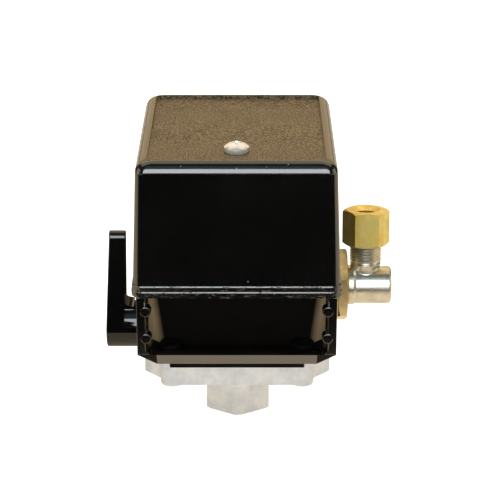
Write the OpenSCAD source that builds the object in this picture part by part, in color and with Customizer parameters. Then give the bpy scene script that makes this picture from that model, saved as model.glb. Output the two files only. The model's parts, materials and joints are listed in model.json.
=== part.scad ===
// Air-compressor pressure switch with an off lever and an unloader valve.
// Millimetres. The origin is the centre of the pressure port's lower face.
// +Z is up, -Y is the open wiring end and the off lever is on the -X side.

/* [Port casting] */
// Across flats of the port's hexagon
hex_af = 22.2; // [21:0.1:24]
// Height of the hexagon
hex_h = 10.5; // [8:0.5:12]
// Radius of the pipe-thread bore
port_r = 5.7; // [5.5:0.05:6]
// Depth of the pipe-thread bore
port_depth = 13; // [11:0.5:14]
// Width of the flange
flange_w = 64; // [61:0.2:64]
// Depth of the flange from front to back
flange_d = 61; // [60:0.2:63]
// Thickness of the flange
flange_t = 8.8; // [8:0.2:10]
// Length of each cut corner along the flange's front
flange_cut = 11; // [9:0.5:12]
// Height of the bell between hexagon and flange
bell_h = 10.7; // [9:0.1:12]

/* [Base] */
// Width over the side walls
base_w = 66.6; // [66.2:0.1:67]
// Depth from the open end to the rear wall
base_d = 75.8; // [75:0.2:76.2]
// Height from the bottom to the shoulder that carries the cover
base_h = 26.6; // [26:0.2:27]
// Thickness of the side walls
base_wall = 3; // [2.8:0.1:3.2]
// Thickness of the floor
floor_t = 3; // [2.6:0.1:3.4]
// Width of the bevel under each side wall
base_cut_w = 6.4; // [5:0.2:7]
// Height of the bevel under each side wall
base_cut_h = 5.4; // [4.6:0.2:6]
// Depth of the bevel under each end
end_cut_d = 4.6; // [3.6:0.2:4.8]
// Height of the bevel under each end, up to the sill of the open end
end_cut_h = 5.7; // [5:0.1:5.8]

/* [Cover] */
// Width at the rim
cover_w = 69; // [68.8:0.1:70]
// Depth at the rim
cover_d = 76.8; // [76.6:0.1:78]
// Height from the rim to the top
cover_h = 46.6; // [46:0.2:50]
// Wall thickness
cover_wall = 2.2; // [1.8:0.1:2.2]
// Draft of each side wall over the height
cover_draft_x = 1.8; // [0.5:0.1:2.2]
// Draft of each end wall over the height
cover_draft_y = 1.5; // [0.5:0.1:2.2]
// Radius round the front and the sides of the top
cover_round = 4; // [3:0.25:5]
// Radius along the rear edge of the top
cover_rear_round = 1.2; // [0.8:0.1:2]
// Depth of the stippled panel in the top
panel_d = 1; // [0.4:0.1:1.2]
// Height of the double step round the rim
step_h = 4.2; // [3.6:0.2:4.6]
// How far the lower step stands out
step_out = 0.4; // [0.3:0.1:0.5]

/* [Lever] */
// Length from the shaft to the centre of the round tip
lever_len = 31.9; // [24:0.1:36]
// Radius of the hub
lever_hub_r = 8; // [6.5:0.1:8.2]
// Radius of the tip
lever_tip_r = 2.4; // [1.8:0.1:4]
// Thickness of the blade at the hub
lever_t = 6.1; // [3.5:0.1:6.4]
// Thickness of the blade at the tip
lever_tip_t = 5.6; // [3.5:0.1:6]
// How far the tip leans towards the cover
lever_lean = 0.95; // [0:0.05:1.4]

/* [Unloader] */
// Radius of the valve body
valve_r = 6.6; // [6:0.1:7]
// Length of the valve body outside the bracket
valve_len = 15.5; // [14.5:0.5:20]
// Across flats of the hexagon bracket
bracket_af = 23.6; // [22:0.1:24]
// Lean of the stub towards the rear, in degrees
stub_lean = 8; // [0:1:10]
// Radius of the upright stub's thread
stub_r = 5.55; // [5.4:0.05:5.7]
// Across flats of the compression nut
nut_af = 14.3; // [14:0.1:15]
// Height of the compression nut
nut_h = 12.5; // [11:0.1:13]
// Radius of the tube bore
tube_r = 3.25; // [3.2:0.01:3.3]

/* [Mechanism] */
// Travel of the piston at full pressure
stroke = 1.5; // [0.8:0.1:1.5]
// Mean radius of the range spring
spring_r = 6.5; // [6:0.1:7]
// Diameter of the range spring's wire
spring_wire = 2; // [1.4:0.1:2.2]
// Curls of the range spring
spring_curls = 8; // [6:1:10]

/* [Hidden] */
$fn = 64;
// Overshoot of a cut beyond the face that it opens
slack = 1;
// Sheet-metal thickness of frame and beam
sheet = 1.5;
// Levels, from the port upwards
flange_z = hex_h + bell_h;
flange_top = flange_z + flange_t;
diaphragm_t = 0.8;
base_z = flange_top + diaphragm_t;
floor_z = base_z + floor_t;
shoulder_z = base_z + base_h;
cover_top = shoulder_z + cover_h;

// Flange screws
screw_x = 22.4;
screw_y = flange_d / 2 - 3.5;
boss_r = 3.8;
boss_drop = 0.5;
boss_h = 2.4;
flange_screw_r = 1.7;
flange_head_r = 2.9;
flange_head_h = 2.6;
flange_sink = flange_head_h + 0.2;
flange_screw_len = flange_t + boss_drop - flange_sink + diaphragm_t + floor_t + boss_h - 0.8;
chamber_r = 20;
chamber_h = 3;
passage_r = 2.5;

// Base
base_rear = 3.2;
base_in = base_w / 2 - base_wall;
rear_in = base_d / 2 - base_rear;
in_cut_w = 4.6;
in_cut_h = 3.9;
sill_t = 3.4;
sill_half = base_in - in_cut_w + 0.6;
sill_z = base_z + end_cut_h;
guide_half = 22.8;
guide_t = 1.5;
guide_y = flange_d / 2 + 0.4;
guide_z = flange_top - 1.1;
lip_h = 2.8;
lip_x = base_in + 1.7;
lip_y = rear_in + 1.3;
hook_zs = [base_z + 11.6, base_z + 21.4];
hook_r = 1.9;
hook_len = 3.5;
housing_r = 20;
housing_h = 6.8;
housing_top = floor_z + housing_h;
cavity_r = 16.5;
piston_t = 2;
cavity_h = piston_t + stroke + 2;
stem_r = 5;

// Lever and shaft
lever_y = -18.4;
lever_z = floor_z + 5.35;
lever_x = -base_w / 2 - 0.4;
lever_boss = 4.7;
lever_fillet = 3;
lever_in = lever_x - lever_boss;
shaft_r = 3;
shaft_end = -24.8;
crank_t = 2.5;
crank_r = 4;
crank_turn = 45;
crank_pin_r = 1.25;
crank_pin_len = 6;
bearing_r = 3.8;
bearing_x = -27.5;

// Pivot of the operating beam
pivot_y = 27;
pivot_z = housing_top + 9.4;
pivot_r = 2;
ear_x = 17;
frame_z = housing_top;
frame_top = frame_z + sheet;
beam_z = housing_top + 6.4;
beam_top = beam_z + sheet;
beam_half = 12.5;
frame_screw_x = 9;
frame_screw_y = 29;

// Range adjuster
stud_y = 13;
stud_r = 2.5;
stud_top = cover_top - 5;
seat_z = beam_top + 38;
seat_t = 2;
seat_r = 8.5;
range_nut_af = 9.5;
range_nut_h = 5;

// Contact block, terminals and carrier
barrier_back = -22.4;
barrier_front = -24.6;
barrier_fillet = 5;
shelf_z = base_z + 27.2;
shelf_t = 3;
shelf_top = shelf_z + shelf_t;
shelf_front = -31;
shelf_back = -17.4;
block_gap = 0.4;
terminal_xs = [-22.5, -9.5, 9.5, 22.5];
terminal_y = -26.5;
contact_y = -20.2;
terminal_t = 0.9;
contact_r = 2.2;
contact_h = 1;
bridge_x = 16;
bridge_gap = 0.05;
bridge_z = shelf_top + terminal_t + 2 * contact_h + bridge_gap;
bridge_t = 1.2;
bar_z = shelf_top + 9;
bar_t = 4;
block_screw_x = 15;
block_screw_y = -19.4;
foot_t = 2.5;
post_y = -23.4;
post_r = 3.2;
post_top = cover_top - 4.5;

// Cover
cover_corner_r = 3.5;
cover_roof = cover_wall + panel_d;

// Unloader valve
valve_y = 1.6;
valve_z = base_z + 14.05;
bracket_x = base_w / 2 + 5.2;
bracket_face_r = 10;
bracket_face_t = 1.9;
spigot_r = 4;
spigot_end = 27.5;
collar_r = 7;
collar_t = 2.8;
valve_end = bracket_x + valve_len;

// Stub and nut, as heights along the stub from the valve's axis
stub_x = 45;
neck_r = 4.6;
neck_low = 4.6;
neck_top = 8.2;
nut_low = 14.8;
nut_top = nut_low + nut_h;
stub_top = nut_top - 4.7;
tube_end = stub_top - 9.5;
ferrule_h = 2;

// Plunger, seal and end plug
pin_r = 1.5;
seal_x = bracket_x + 4.5;
seal_t = 1;
head_t = 2;
disc_r = 3.2;
valve_chamber_r = 4;
plug_t = 2.5;

// Ramp on the beam: a face at 45 degrees that pushes the plunger out
ramp_half = 3;
ramp_low = frame_top + 0.8;
ramp_gap = 0.1;
plunger_tip = beam_half + beam_top - valve_z + sqrt(2) * (pin_r + ramp_gap);

// Box between two corners
module block(lo, hi) {
    translate(lo)
        cube(hi - lo);
}

// Round bar along X
module rod_x(r, x0, x1, y, z) {
    translate([x0, y, z])
        rotate([0, 90, 0])
            cylinder(r = r, h = x1 - x0);
}

// Extrude a profile in X and Z along Y
module along_y(y0, y1) {
    translate([0, y1, 0])
        rotate([90, 0, 0])
            linear_extrude(y1 - y0)
                children();
}

// Section of the trough: vertical sides and bevelled lower corners
function trough(half, z0, z1, cut_w, cut_h) = [
    [-half, z1], [-half, z0 + cut_h], [-half + cut_w, z0],
    [half - cut_w, z0], [half, z0 + cut_h], [half, z1]];

// Rectangle with round corners
function round_rect(half_x, half_y, r) = [
    for (c = [[1, 1, 0], [-1, 1, 90], [-1, -1, 180], [1, -1, 270]], a = [0 : 15 : 90])
        [c[0] * (half_x - r) + r * cos(a + c[2]), c[1] * (half_y - r) + r * sin(a + c[2])]];

// Rectangle with cut corners
module octagon(w, d, cut) {
    x = w / 2;
    y = d / 2;
    polygon([[x, y - cut], [x - cut, y], [cut - x, y], [-x, y - cut],
        [-x, cut - y], [cut - x, -y], [x - cut, -y], [x, cut - y]]);
}

// Hexagon along Z with turned chamfers on its corners
module hex_bar(af, h, chamfer) {
    corner = af / sqrt(3);
    intersection() {
        cylinder(r = corner, h = h, $fn = 6);
        rotate_extrude()
            polygon([[0, 0], [corner - 2 * chamfer, 0], [corner, chamfer],
                [corner, h - chamfer], [corner - 2 * chamfer, h], [0, h]]);
    }
}

// Screw with a pan head, head up, seat at the origin and a cross recess
module pan_screw(head_r, head_h, shank_r, shank_len) {
    dome_r = head_r * 1.5;
    difference() {
        union() {
            intersection() {
                cylinder(r = head_r, h = head_h);
                translate([0, 0, head_h - dome_r])
                    sphere(r = dome_r);
            }
            translate([0, 0, -shank_len])
                cylinder(r = shank_r, h = shank_len + 0.2);
        }
        for (turn = [0, 90])
            rotate(turn)
                translate([-head_r * 0.55, -head_r * 0.13, head_h * 0.45])
                    cube([head_r * 1.1, head_r * 0.26, head_h]);
    }
}

module at_flange_screws(z) {
    for (sx = [-1, 1], sy = [-1, 1])
        translate([sx * screw_x, sy * screw_y, z])
            children();
}

// Centre line of a coil along Z from z = 0 to h, 8 rings to a curl
function coil_line(r, h, curls) = [
    for (i = [0 : 8 * curls])
        [r * cos(45 * i), r * sin(45 * i), h * i / (8 * curls)]];

// Least gap between the curls of a coil
function coil_gap(line, wire) = min([
    for (i = [0 : len(line) - 5], j = [i + 4 : len(line) - 1])
        norm(line[i] - line[j])]) - wire;

// One unbroken wire of 6 sides along a coil
module coil(r, wire, h, curls) {
    line = coil_line(r, h, curls);
    last = len(line) - 1;
    climb = h / (curls * 2 * PI * r);
    points = [
        for (i = [0 : last], s = [0 : 5])
            let (out = [cos(45 * i), sin(45 * i), 0],
                side = [climb * sin(45 * i), -climb * cos(45 * i), 1] / sqrt(1 + climb * climb))
                line[i] + wire / 2 * (cos(60 * s) * out + sin(60 * s) * side)];
    walls = [
        for (i = [0 : last - 1], s = [0 : 5], half = [0, 1])
            let (a = 6 * i + s, b = 6 * i + (s + 1) % 6)
                half == 0 ? [a, a + 6, b] : [b, a + 6, b + 6]];
    ends = [
        for (s = [1 : 4], half = [0, 1])
            half == 0 ? [0, s, s + 1] : [6 * last, 6 * last + s + 1, 6 * last + s]];
    polyhedron(points = points, faces = concat(walls, ends));
    echo("least gap between curls", coil_gap(line, wire));
}

module port_casting() color("gainsboro") difference() {
    union() {
        rotate(30)
            hex_bar(hex_af, hex_h, 0.5);
        // Bell that flares from the hexagon to the flange
        translate([0, 0, hex_h])
            rotate_extrude()
                polygon(concat([[0, 0]],
                    [for (a = [0 : 10 : 90])
                        [hex_af / 2 + chamber_r * 0.55 * (1 - cos(a)), bell_h * sin(a)]],
                    [[0, bell_h]]));
        translate([0, 0, flange_z])
            linear_extrude(flange_t)
                octagon(flange_w, flange_d, flange_cut);
        at_flange_screws(flange_z - boss_drop)
            cylinder(r = boss_r, h = flange_t + boss_drop);
    }
    translate([0, 0, -slack])
        cylinder(r = port_r, h = port_depth + slack);
    cylinder(r = passage_r, h = flange_top);
    translate([0, 0, flange_top - chamber_h])
        cylinder(r = chamber_r, h = chamber_h + slack);
    at_flange_screws(flange_z - boss_drop - slack) {
        cylinder(r = flange_head_r + 0.1, h = flange_sink + slack);
        cylinder(r = flange_screw_r + 0.2, h = flange_t + boss_drop + 2 * slack);
    }
}

module diaphragm() color("dimgray") translate([0, 0, flange_top]) difference() {
    linear_extrude(diaphragm_t)
        octagon(flange_w - 1, flange_d - 1, flange_cut - 0.3);
    at_flange_screws(-slack)
        cylinder(r = flange_screw_r + 0.2, h = diaphragm_t + 2 * slack);
}

module flange_screws() color("silver") at_flange_screws(flange_z - boss_drop + flange_sink)
    rotate([180, 0, 0])
        pan_screw(flange_head_r, flange_head_h, flange_screw_r, flange_screw_len);

// Cut under an end of the base
module end_bevel(half) {
    slope = end_cut_h / end_cut_d;
    translate([-half, -base_d / 2, base_z])
        rotate([90, 0, 90])
            linear_extrude(2 * half)
                polygon([[-slack, -slack * slope], [end_cut_d + slack, -slack * slope],
                    [-slack, end_cut_h + slack * slope]]);
}

// Cut under a side wall of the base
module side_bevel(side) {
    slope = base_cut_h / base_cut_w;
    along_y(-base_d, base_d)
        polygon([[side * (base_w / 2 + slack), base_z - slack * slope],
            [side * (base_w / 2 - base_cut_w - slack), base_z - slack * slope],
            [side * (base_w / 2 + slack), base_z + base_cut_h + slack * slope]]);
}

module base() color("#202020") difference() {
    union() {
        difference() {
            along_y(-base_d / 2, base_d / 2)
                polygon(trough(base_w / 2, base_z, shoulder_z, base_cut_w, base_cut_h));
            along_y(-base_d / 2 - slack, rear_in)
                polygon(trough(base_in, floor_z, shoulder_z + slack, in_cut_w, in_cut_h));
            // Bevels under the open end, between the walls, and under the rear
            end_bevel(sill_half);
            rotate(180)
                end_bevel(base_w);
        }
        // Sill across the open end
        difference() {
            block([-base_in - slack, -base_d / 2, floor_z - slack],
                [base_in + slack, sill_t - base_d / 2, sill_z]);
            end_bevel(sill_half);
            for (sx = [-1, 1])
                side_bevel(sx);
        }
        // Guides that centre the casting's flange, front and rear
        for (turn = [0, 180])
            rotate(turn)
                block([-guide_half, -guide_y - guide_t, guide_z], [guide_half, -guide_y, base_z + floor_t / 2]);
        // Lip that the cover fits over
        difference() {
            translate([0, 0, shoulder_z - slack])
                linear_extrude(lip_h + slack)
                    polygon(round_rect(lip_x, lip_y, 2.5));
            block([-base_in, -lip_y - slack, shoulder_z - 2 * slack],
                [base_in, rear_in, shoulder_z + lip_h + slack]);
        }
        // Housing over the piston
        translate([0, 0, floor_z - slack])
            cylinder(r = housing_r, h = housing_h + slack);
        at_flange_screws(floor_z - slack)
            cylinder(r = boss_r, h = boss_h + slack);
        for (sx = [-1, 1]) {
            translate([sx * frame_screw_x, frame_screw_y, floor_z - slack])
                cylinder(r = boss_r, h = housing_h + slack);
            // Pegs on the wall's front edges that hold a cord clamp
            for (z = hook_zs)
                translate([sx * base_in, -base_d / 2, z])
                    rotate([-90, 0, 0])
                        cylinder(r = hook_r, h = hook_len);
        }
        // Pad round the lever shaft
        rod_x(bearing_r, -base_in - slack, bearing_x, lever_y, lever_z);
    }
    translate([0, 0, base_z - slack])
        cylinder(r = cavity_r, h = cavity_h + slack);
    translate([0, 0, base_z])
        cylinder(r = stem_r + 0.1, h = housing_top);
    at_flange_screws(base_z - slack)
        cylinder(r = flange_screw_r + 0.05, h = floor_t + boss_h - 0.5 + slack);
    for (sx = [-1, 1]) {
        translate([sx * frame_screw_x, frame_screw_y, floor_z])
            cylinder(r = 1.55, h = housing_h + slack);
        translate([sx * block_screw_x, block_screw_y, floor_z - 2.2])
            cylinder(r = 1.55, h = 2.2 + slack);
    }
    rod_x(shaft_r + 0.05, -base_w / 2 - slack, bearing_x + slack, lever_y, lever_z);
    rod_x(spigot_r + 0.1, base_in - slack, base_w / 2 + slack, valve_y, valve_z);
}

module piston() color("goldenrod") {
    translate([0, 0, base_z])
        rotate_extrude()
            polygon([[0, 0], [cavity_r - 1, 0], [cavity_r - 0.6, 0.4], [cavity_r - 0.6, piston_t - 0.4],
                [cavity_r - 1, piston_t], [stem_r + 2, piston_t], [stem_r, piston_t + 2],
                [stem_r, beam_z - base_z - 2.4], [1, beam_z - base_z - 0.1], [0, beam_z - base_z - 0.1]]);
}

module mechanism_frame() color("silver") difference() {
    union() {
        block([-ear_x - sheet, -9, frame_z], [ear_x + sheet, 33, frame_top]);
        for (x = [-ear_x - sheet, ear_x]) {
            block([x, pivot_y - 6, frame_z], [x + sheet, pivot_y + 6, pivot_z]);
            rod_x(6, x, x + sheet, pivot_y, pivot_z);
        }
    }
    translate([0, 0, frame_z - slack])
        cylinder(r = stem_r + 0.6, h = sheet + 2 * slack);
    translate([0, stud_y, frame_z - slack])
        cylinder(r = 2.05, h = sheet + 2 * slack);
    for (sx = [-1, 1])
        translate([sx * frame_screw_x, frame_screw_y, frame_z - slack])
            cylinder(r = 1.65, h = sheet + 2 * slack);
    rod_x(pivot_r + 0.02, -ear_x - sheet - slack, ear_x + sheet + slack, pivot_y, pivot_z);
}

module frame_screws() color("lightsteelblue") for (sx = [-1, 1])
    translate([sx * frame_screw_x, frame_screw_y, frame_top])
        pan_screw(2.8, 2, 1.5, 6);

module operating_beam() color("lightslategray") difference() {
    union() {
        block([-beam_half, -8, beam_z], [beam_half, 22, beam_top]);
        // Tongue that lifts the contact carrier
        block([-4.5, -16.4, beam_z], [4.5, -8 + slack, beam_top]);
        // Turned-up sides that hang on the pivot pin
        for (x = [-beam_half, beam_half - sheet]) {
            block([x, 16, beam_z], [x + sheet, pivot_y, pivot_z + 3.8]);
            rod_x(3.8, x, x + sheet, pivot_y, pivot_z);
        }
    }
    translate([0, stud_y, beam_z - slack])
        cylinder(r = stud_r + 1.2, h = sheet + 2 * slack);
    rod_x(pivot_r + 0.05, -beam_half - slack, beam_half + slack, pivot_y, pivot_z);
}

module beam_pin() color("silver") difference() {
    union() {
        rod_x(pivot_r, -ear_x - sheet - 1.6, ear_x + sheet + 2, pivot_y, pivot_z);
        rod_x(3.2, -ear_x - sheet - 1.6, -ear_x - sheet, pivot_y, pivot_z);
    }
    difference() {
        rod_x(pivot_r + slack, ear_x + sheet, ear_x + sheet + 0.9, pivot_y, pivot_z);
        rod_x(1.6, ear_x, ear_x + 2 * sheet, pivot_y, pivot_z);
    }
}

module pin_clip() color("gray") difference() {
    rod_x(3.6, ear_x + sheet, ear_x + sheet + 0.8, pivot_y, pivot_z);
    rod_x(1.62, ear_x, ear_x + 3 * sheet, pivot_y, pivot_z);
    // Mouth through which the clip snaps on
    block([ear_x, pivot_y - 1.3, pivot_z], [ear_x + 3 * sheet, pivot_y + 1.3, pivot_z + 5]);
}

module range_stud() color("silver") translate([0, stud_y, 0]) difference() {
    union() {
        translate([0, 0, frame_z])
            cylinder(r = 2, h = sheet + slack);
        translate([0, 0, frame_top])
            cylinder(r = stud_r, h = stud_top - frame_top - 0.8);
        translate([0, 0, stud_top - 0.8])
            cylinder(r1 = stud_r, r2 = stud_r - 0.6, h = 0.8);
    }
    block([-stud_r - slack, -0.5, stud_top - 2], [stud_r + slack, 0.5, stud_top + slack]);
}

module range_spring() color("dimgray") translate([0, stud_y, beam_top + spring_wire / 2 + 0.1])
    coil(spring_r, spring_wire, seat_z - beam_top - spring_wire - 0.2, spring_curls);

module spring_seat() color("silver") translate([0, stud_y, seat_z]) difference() {
    rotate_extrude()
        polygon([[0, -2], [4.2, -2], [4.8, -1.4], [4.8, 0], [seat_r, 0], [seat_r, seat_t - 0.4],
            [seat_r - 0.4, seat_t], [0, seat_t]]);
    translate([0, 0, -3])
        cylinder(r = stud_r + 0.1, h = 6);
}

module range_nut() color("goldenrod") translate([0, stud_y, seat_z + seat_t]) difference() {
    hex_bar(range_nut_af, range_nut_h, 0.4);
    translate([0, 0, -slack])
        cylinder(r = stud_r + 0.05, h = range_nut_h + 2 * slack);
}

module contact_block() color("#303030") difference() {
    union() {
        // Barrier between wiring space and mechanism, with curved ends
        difference() {
            along_y(barrier_front - barrier_fillet, barrier_back)
                polygon(trough(base_in - block_gap, floor_z, shelf_z + slack, in_cut_w, in_cut_h));
            block([barrier_fillet + block_gap - base_in, -40, 0],
                [base_in - block_gap - barrier_fillet, barrier_front, cover_top]);
            for (sx = [-1, 1])
                translate([sx * (base_in - block_gap - barrier_fillet), barrier_front - barrier_fillet, 0])
                    cylinder(r = barrier_fillet, h = cover_top);
        }
        // Terminal shelf
        block([block_gap - base_in, shelf_front, shelf_z], [base_in - block_gap, shelf_back, shelf_top]);
        for (sx = [-1, 1]) {
            // Rib between two terminals
            block([sx * bridge_x - 0.8, shelf_front, shelf_top - slack], [sx * bridge_x + 0.8, -24, shelf_top + 7]);
            // Feet
            block([sx * block_screw_x - 3, barrier_back - slack, floor_z],
                [sx * block_screw_x + 3, -16.4, floor_z + foot_t]);
            // Gusset under the shelf
            block([sx * 7 - 1, barrier_back - slack, floor_z + 10], [sx * 7 + 1, shelf_back, shelf_z + slack]);
        }
    }
    for (sx = [-1, 1]) {
        translate([sx * block_screw_x, block_screw_y, floor_z - slack])
            cylinder(r = 1.6, h = foot_t + 2 * slack);
        // Notch round the base's screw bosses
        translate([sx * screw_x, -screw_y, floor_z - slack])
            cylinder(r = boss_r + 0.3, h = boss_h + slack + 0.3);
    }
    for (x = terminal_xs)
        translate([x, terminal_y, shelf_z - slack])
            cylinder(r = 1.8, h = shelf_t + 2 * slack);
    translate([0, post_y, shelf_z - slack])
        cylinder(r = 1.95, h = shelf_t + 2 * slack);
}

module block_screws() color("lightsteelblue") for (sx = [-1, 1])
    translate([sx * block_screw_x, block_screw_y, floor_z + foot_t])
        pan_screw(2.6, 2, 1.5, foot_t + 1.8);

module terminal_plates() color("peru") for (x = terminal_xs)
    translate([x, 0, shelf_top]) {
        difference() {
            block([-4, terminal_y - 3.6, 0], [4, -17.8, terminal_t]);
            translate([0, terminal_y, -slack])
                cylinder(r = 1.75, h = terminal_t + 2 * slack);
        }
        translate([0, contact_y, terminal_t - 0.2])
            cylinder(r = contact_r, h = contact_h + 0.2);
    }

module terminal_screws() color("lightsteelblue") for (x = terminal_xs)
    translate([x, terminal_y, shelf_top + terminal_t])
        pan_screw(3.5, 2.4, 1.7, shelf_t + terminal_t - 0.1);

module contact_carrier() color("burlywood") difference() {
    union() {
        block([-26, contact_y - 3, bar_z], [26, -12.6, bar_z + bar_t]);
        // Post that the beam's tongue lifts
        block([-6.2, -16.6, housing_top + 1], [6.2, -10.6, bar_z + slack]);
        // Leg over the lever's crank
        block([-24.3, -16.6, lever_z - 0.2], [-19.3, -12.6, bar_z + slack]);
        for (sx = [-1, 1]) {
            // Guide stem of a contact bridge, with its stop
            translate([sx * bridge_x, contact_y, bridge_z - 1.1])
                cylinder(r = 1.4, h = bar_z - bridge_z + 1.1 + slack);
            translate([sx * bridge_x, contact_y, bridge_z - 1.1])
                cylinder(r = 2.3, h = 1);
            // Stiffening rib along the bar
            block([sx * 16 - 10, -15, bar_z + bar_t - slack], [sx * 16 + 10, -13.4, bar_z + bar_t + 2.5]);
        }
    }
    // Window for the tongue
    block([-4.7, -17, beam_z - 3.2], [4.7, -10, beam_top + 0.1]);
    // Room for the cover post
    translate([0, post_y, bar_z - slack])
        cylinder(r = post_r + 1.2, h = bar_t + 2 * slack);
}

module contact_bridges() color("peru") for (sx = [-1, 1])
    translate([sx * bridge_x, contact_y, bridge_z]) {
        difference() {
            block([-9, -2, 0], [9, 2, bridge_t]);
            translate([0, 0, -slack])
                cylinder(r = 1.5, h = bridge_t + 2 * slack);
        }
        for (x = [-6.5, 6.5])
            translate([x, 0, -contact_h])
                cylinder(r = contact_r - 0.2, h = contact_h + 0.2);
    }

module contact_springs() color("gray") for (sx = [-1, 1])
    translate([sx * bridge_x, contact_y, bridge_z + bridge_t + 0.35])
        coil(2.1, 0.6, bar_z - bridge_z - bridge_t - 0.7, 3);

module cover_post() color("silver") translate([0, post_y, 0]) difference() {
    union() {
        translate([0, 0, shelf_top])
            cylinder(r = post_r, h = post_top - shelf_top);
        translate([0, 0, shelf_z])
            cylinder(r = 1.9, h = shelf_t + slack);
    }
    translate([0, 0, post_top - 12])
        cylinder(r = 1.95, h = 12 + slack);
}

// Drafted box with a round top, set in from the cover's outside; its rear edge has its own radius
module drafted(inset, z0, top, r_top, r_rear) {
    r_low = cover_corner_r - inset * 0.8;
    top_x = cover_w / 2 - cover_draft_x - inset;
    top_y = cover_d / 2 - cover_draft_y - inset;
    hull() for (sx = [-1, 1]) {
        for (sy = [-1, 1])
            translate([sx * (cover_w / 2 - inset - r_low), sy * (cover_d / 2 - inset - r_low), z0])
                cylinder(r = r_low, h = 0.01, $fn = 32);
        translate([sx * (top_x - r_top), r_top - top_y, top - r_top])
            sphere(r = r_top, $fn = 32);
        translate([sx * (top_x - r_top), top_y - r_top, top - r_rear])
            rotate_extrude($fn = 32)
                translate([r_top - r_rear, 0])
                    circle(r = r_rear, $fn = 24);
    }
}

module cover() color("#1a1a1a") difference() {
    union() {
        drafted(0, shoulder_z, cover_top, cover_round, cover_rear_round);
        // Double step round the rim
        for (share = [0.5, 1])
            hull() for (sx = [-1, 1], sy = [-1, 1])
                translate([sx * (cover_w / 2 - cover_corner_r), sy * (cover_d / 2 - cover_corner_r), shoulder_z])
                    cylinder(r = cover_corner_r + step_out * share, h = step_h * (1.5 - share), $fn = 32);
    }
    difference() {
        drafted(cover_wall, shoulder_z - slack, cover_top - cover_roof, cover_round - 1.5, cover_rear_round);
        // Boss that seats on the cover post
        translate([0, post_y, post_top])
            cylinder(r = 5, h = 10);
    }
    // Stippled panel sunk in the top
    translate([0, 0, cover_top - panel_d])
        linear_extrude(panel_d + slack)
            polygon(round_rect(cover_w / 2 - cover_draft_x - 3.7, cover_d / 2 - cover_draft_y - 3.4, 1.5));
    translate([0, post_y, post_top - slack])
        cylinder(r = 2.2, h = 10);
}

module cover_screw() color("silver") translate([0, post_y, cover_top - panel_d])
    pan_screw(4.15, 2.8, 1.85, 14);

module lever() color("#1a1a1a") difference() {
    union() {
        // Blade from the round hub to the round tip
        hull() {
            rod_x(lever_hub_r, lever_in - lever_t, lever_in, lever_y, lever_z, $fn = 48);
            rod_x(lever_tip_r, lever_in + lever_lean - lever_tip_t, lever_in + lever_lean, lever_y,
                lever_z + lever_len, $fn = 48);
        }
        rod_x(lever_hub_r, lever_in - slack, lever_x, lever_y, lever_z);
        // Fillet between blade and boss
        along_y(lever_y - 4.5, lever_y + 4.5) difference() {
            translate([lever_in - slack, lever_z + 4])
                square([lever_fillet + slack, lever_hub_r + lever_fillet - 4]);
            translate([lever_in + lever_fillet, lever_z + lever_hub_r + lever_fillet])
                circle(r = lever_fillet);
        }
    }
    rod_x(shaft_r + 0.02, lever_in - 3, lever_x + slack, lever_y, lever_z);
}

module lever_shaft() color("silver")
    rod_x(shaft_r, lever_in - 3, shaft_end, lever_y, lever_z);

module lever_crank() color("gray") translate([shaft_end - crank_t, lever_y, lever_z])
    rotate([-crank_turn / 2, 0, 0]) difference() {
        union() {
            rod_x(3.6, 0, crank_t, 0, 0);
            block([0, 0, -2.1], [crank_t, crank_r, 2.1]);
            rod_x(2.1, 0, crank_t, crank_r, 0);
            rod_x(crank_pin_r, 0, crank_t + crank_pin_len, crank_r, 0);
        }
        rod_x(shaft_r + 0.01, -slack, crank_t + slack, 0, 0);
    }

module unloader_ramp() color("whitesmoke") along_y(valve_y - ramp_half, valve_y + ramp_half)
    polygon([[beam_half, beam_top], [beam_half, ramp_low], [beam_half + beam_top - ramp_low, ramp_low]]);

// Hexagon with a round face against the base's right wall, corners up and down
module unloader_bracket() color("khaki") difference() {
    union() {
        rod_x(bracket_face_r, base_w / 2, base_w / 2 + bracket_face_t + slack, valve_y, valve_z);
        translate([base_w / 2 + bracket_face_t, valve_y, valve_z])
            rotate([0, 90, 0])
                hex_bar(bracket_af, bracket_x - base_w / 2 - bracket_face_t, 0.7);
    }
    rod_x(spigot_r + 0.1, base_w / 2 - slack, bracket_x + slack, valve_y, valve_z);
}

// Frame of the leaning stub, with its foot on the valve's axis
module on_stub(height) {
    translate([stub_x, valve_y, valve_z])
        rotate([-stub_lean, 0, 0])
            translate([0, 0, height])
                children();
}

module unloader_body() color("lightgray") difference() {
    union() {
        rod_x(spigot_r, spigot_end, bracket_x + slack, valve_y, valve_z);
        rod_x(collar_r, bracket_x, bracket_x + collar_t, valve_y, valve_z);
        rod_x(valve_r, bracket_x, valve_end, valve_y, valve_z);
        // Neck that widens to the thread
        on_stub(0) {
            cylinder(r = neck_r, h = neck_top);
            translate([0, 0, neck_low])
                cylinder(r1 = neck_r, r2 = stub_r, h = neck_top - neck_low);
            translate([0, 0, neck_top])
                cylinder(r = stub_r, h = stub_top - neck_top);
        }
    }
    rod_x(pin_r + 0.1, spigot_end - slack, seal_x + slack, valve_y, valve_z);
    rod_x(valve_chamber_r, seal_x, valve_end + slack, valve_y, valve_z);
    on_stub(0)
        cylinder(r = 2, h = stub_top);
    on_stub(tube_end)
        cylinder(r = tube_r, h = stub_top - tube_end + slack);
    // Cone in the stub's mouth that the ferrule wedges into
    on_stub(stub_top - 1.2)
        cylinder(r1 = tube_r, r2 = tube_r + 1.2, h = 1.21);
}

module unloader_plunger() color("goldenrod") {
    rod_x(pin_r, plunger_tip, seal_x + seal_t + 0.5, valve_y, valve_z);
    translate([plunger_tip, valve_y, valve_z])
        sphere(r = pin_r);
    rod_x(disc_r, seal_x + seal_t, seal_x + seal_t + head_t, valve_y, valve_z);
}

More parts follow.
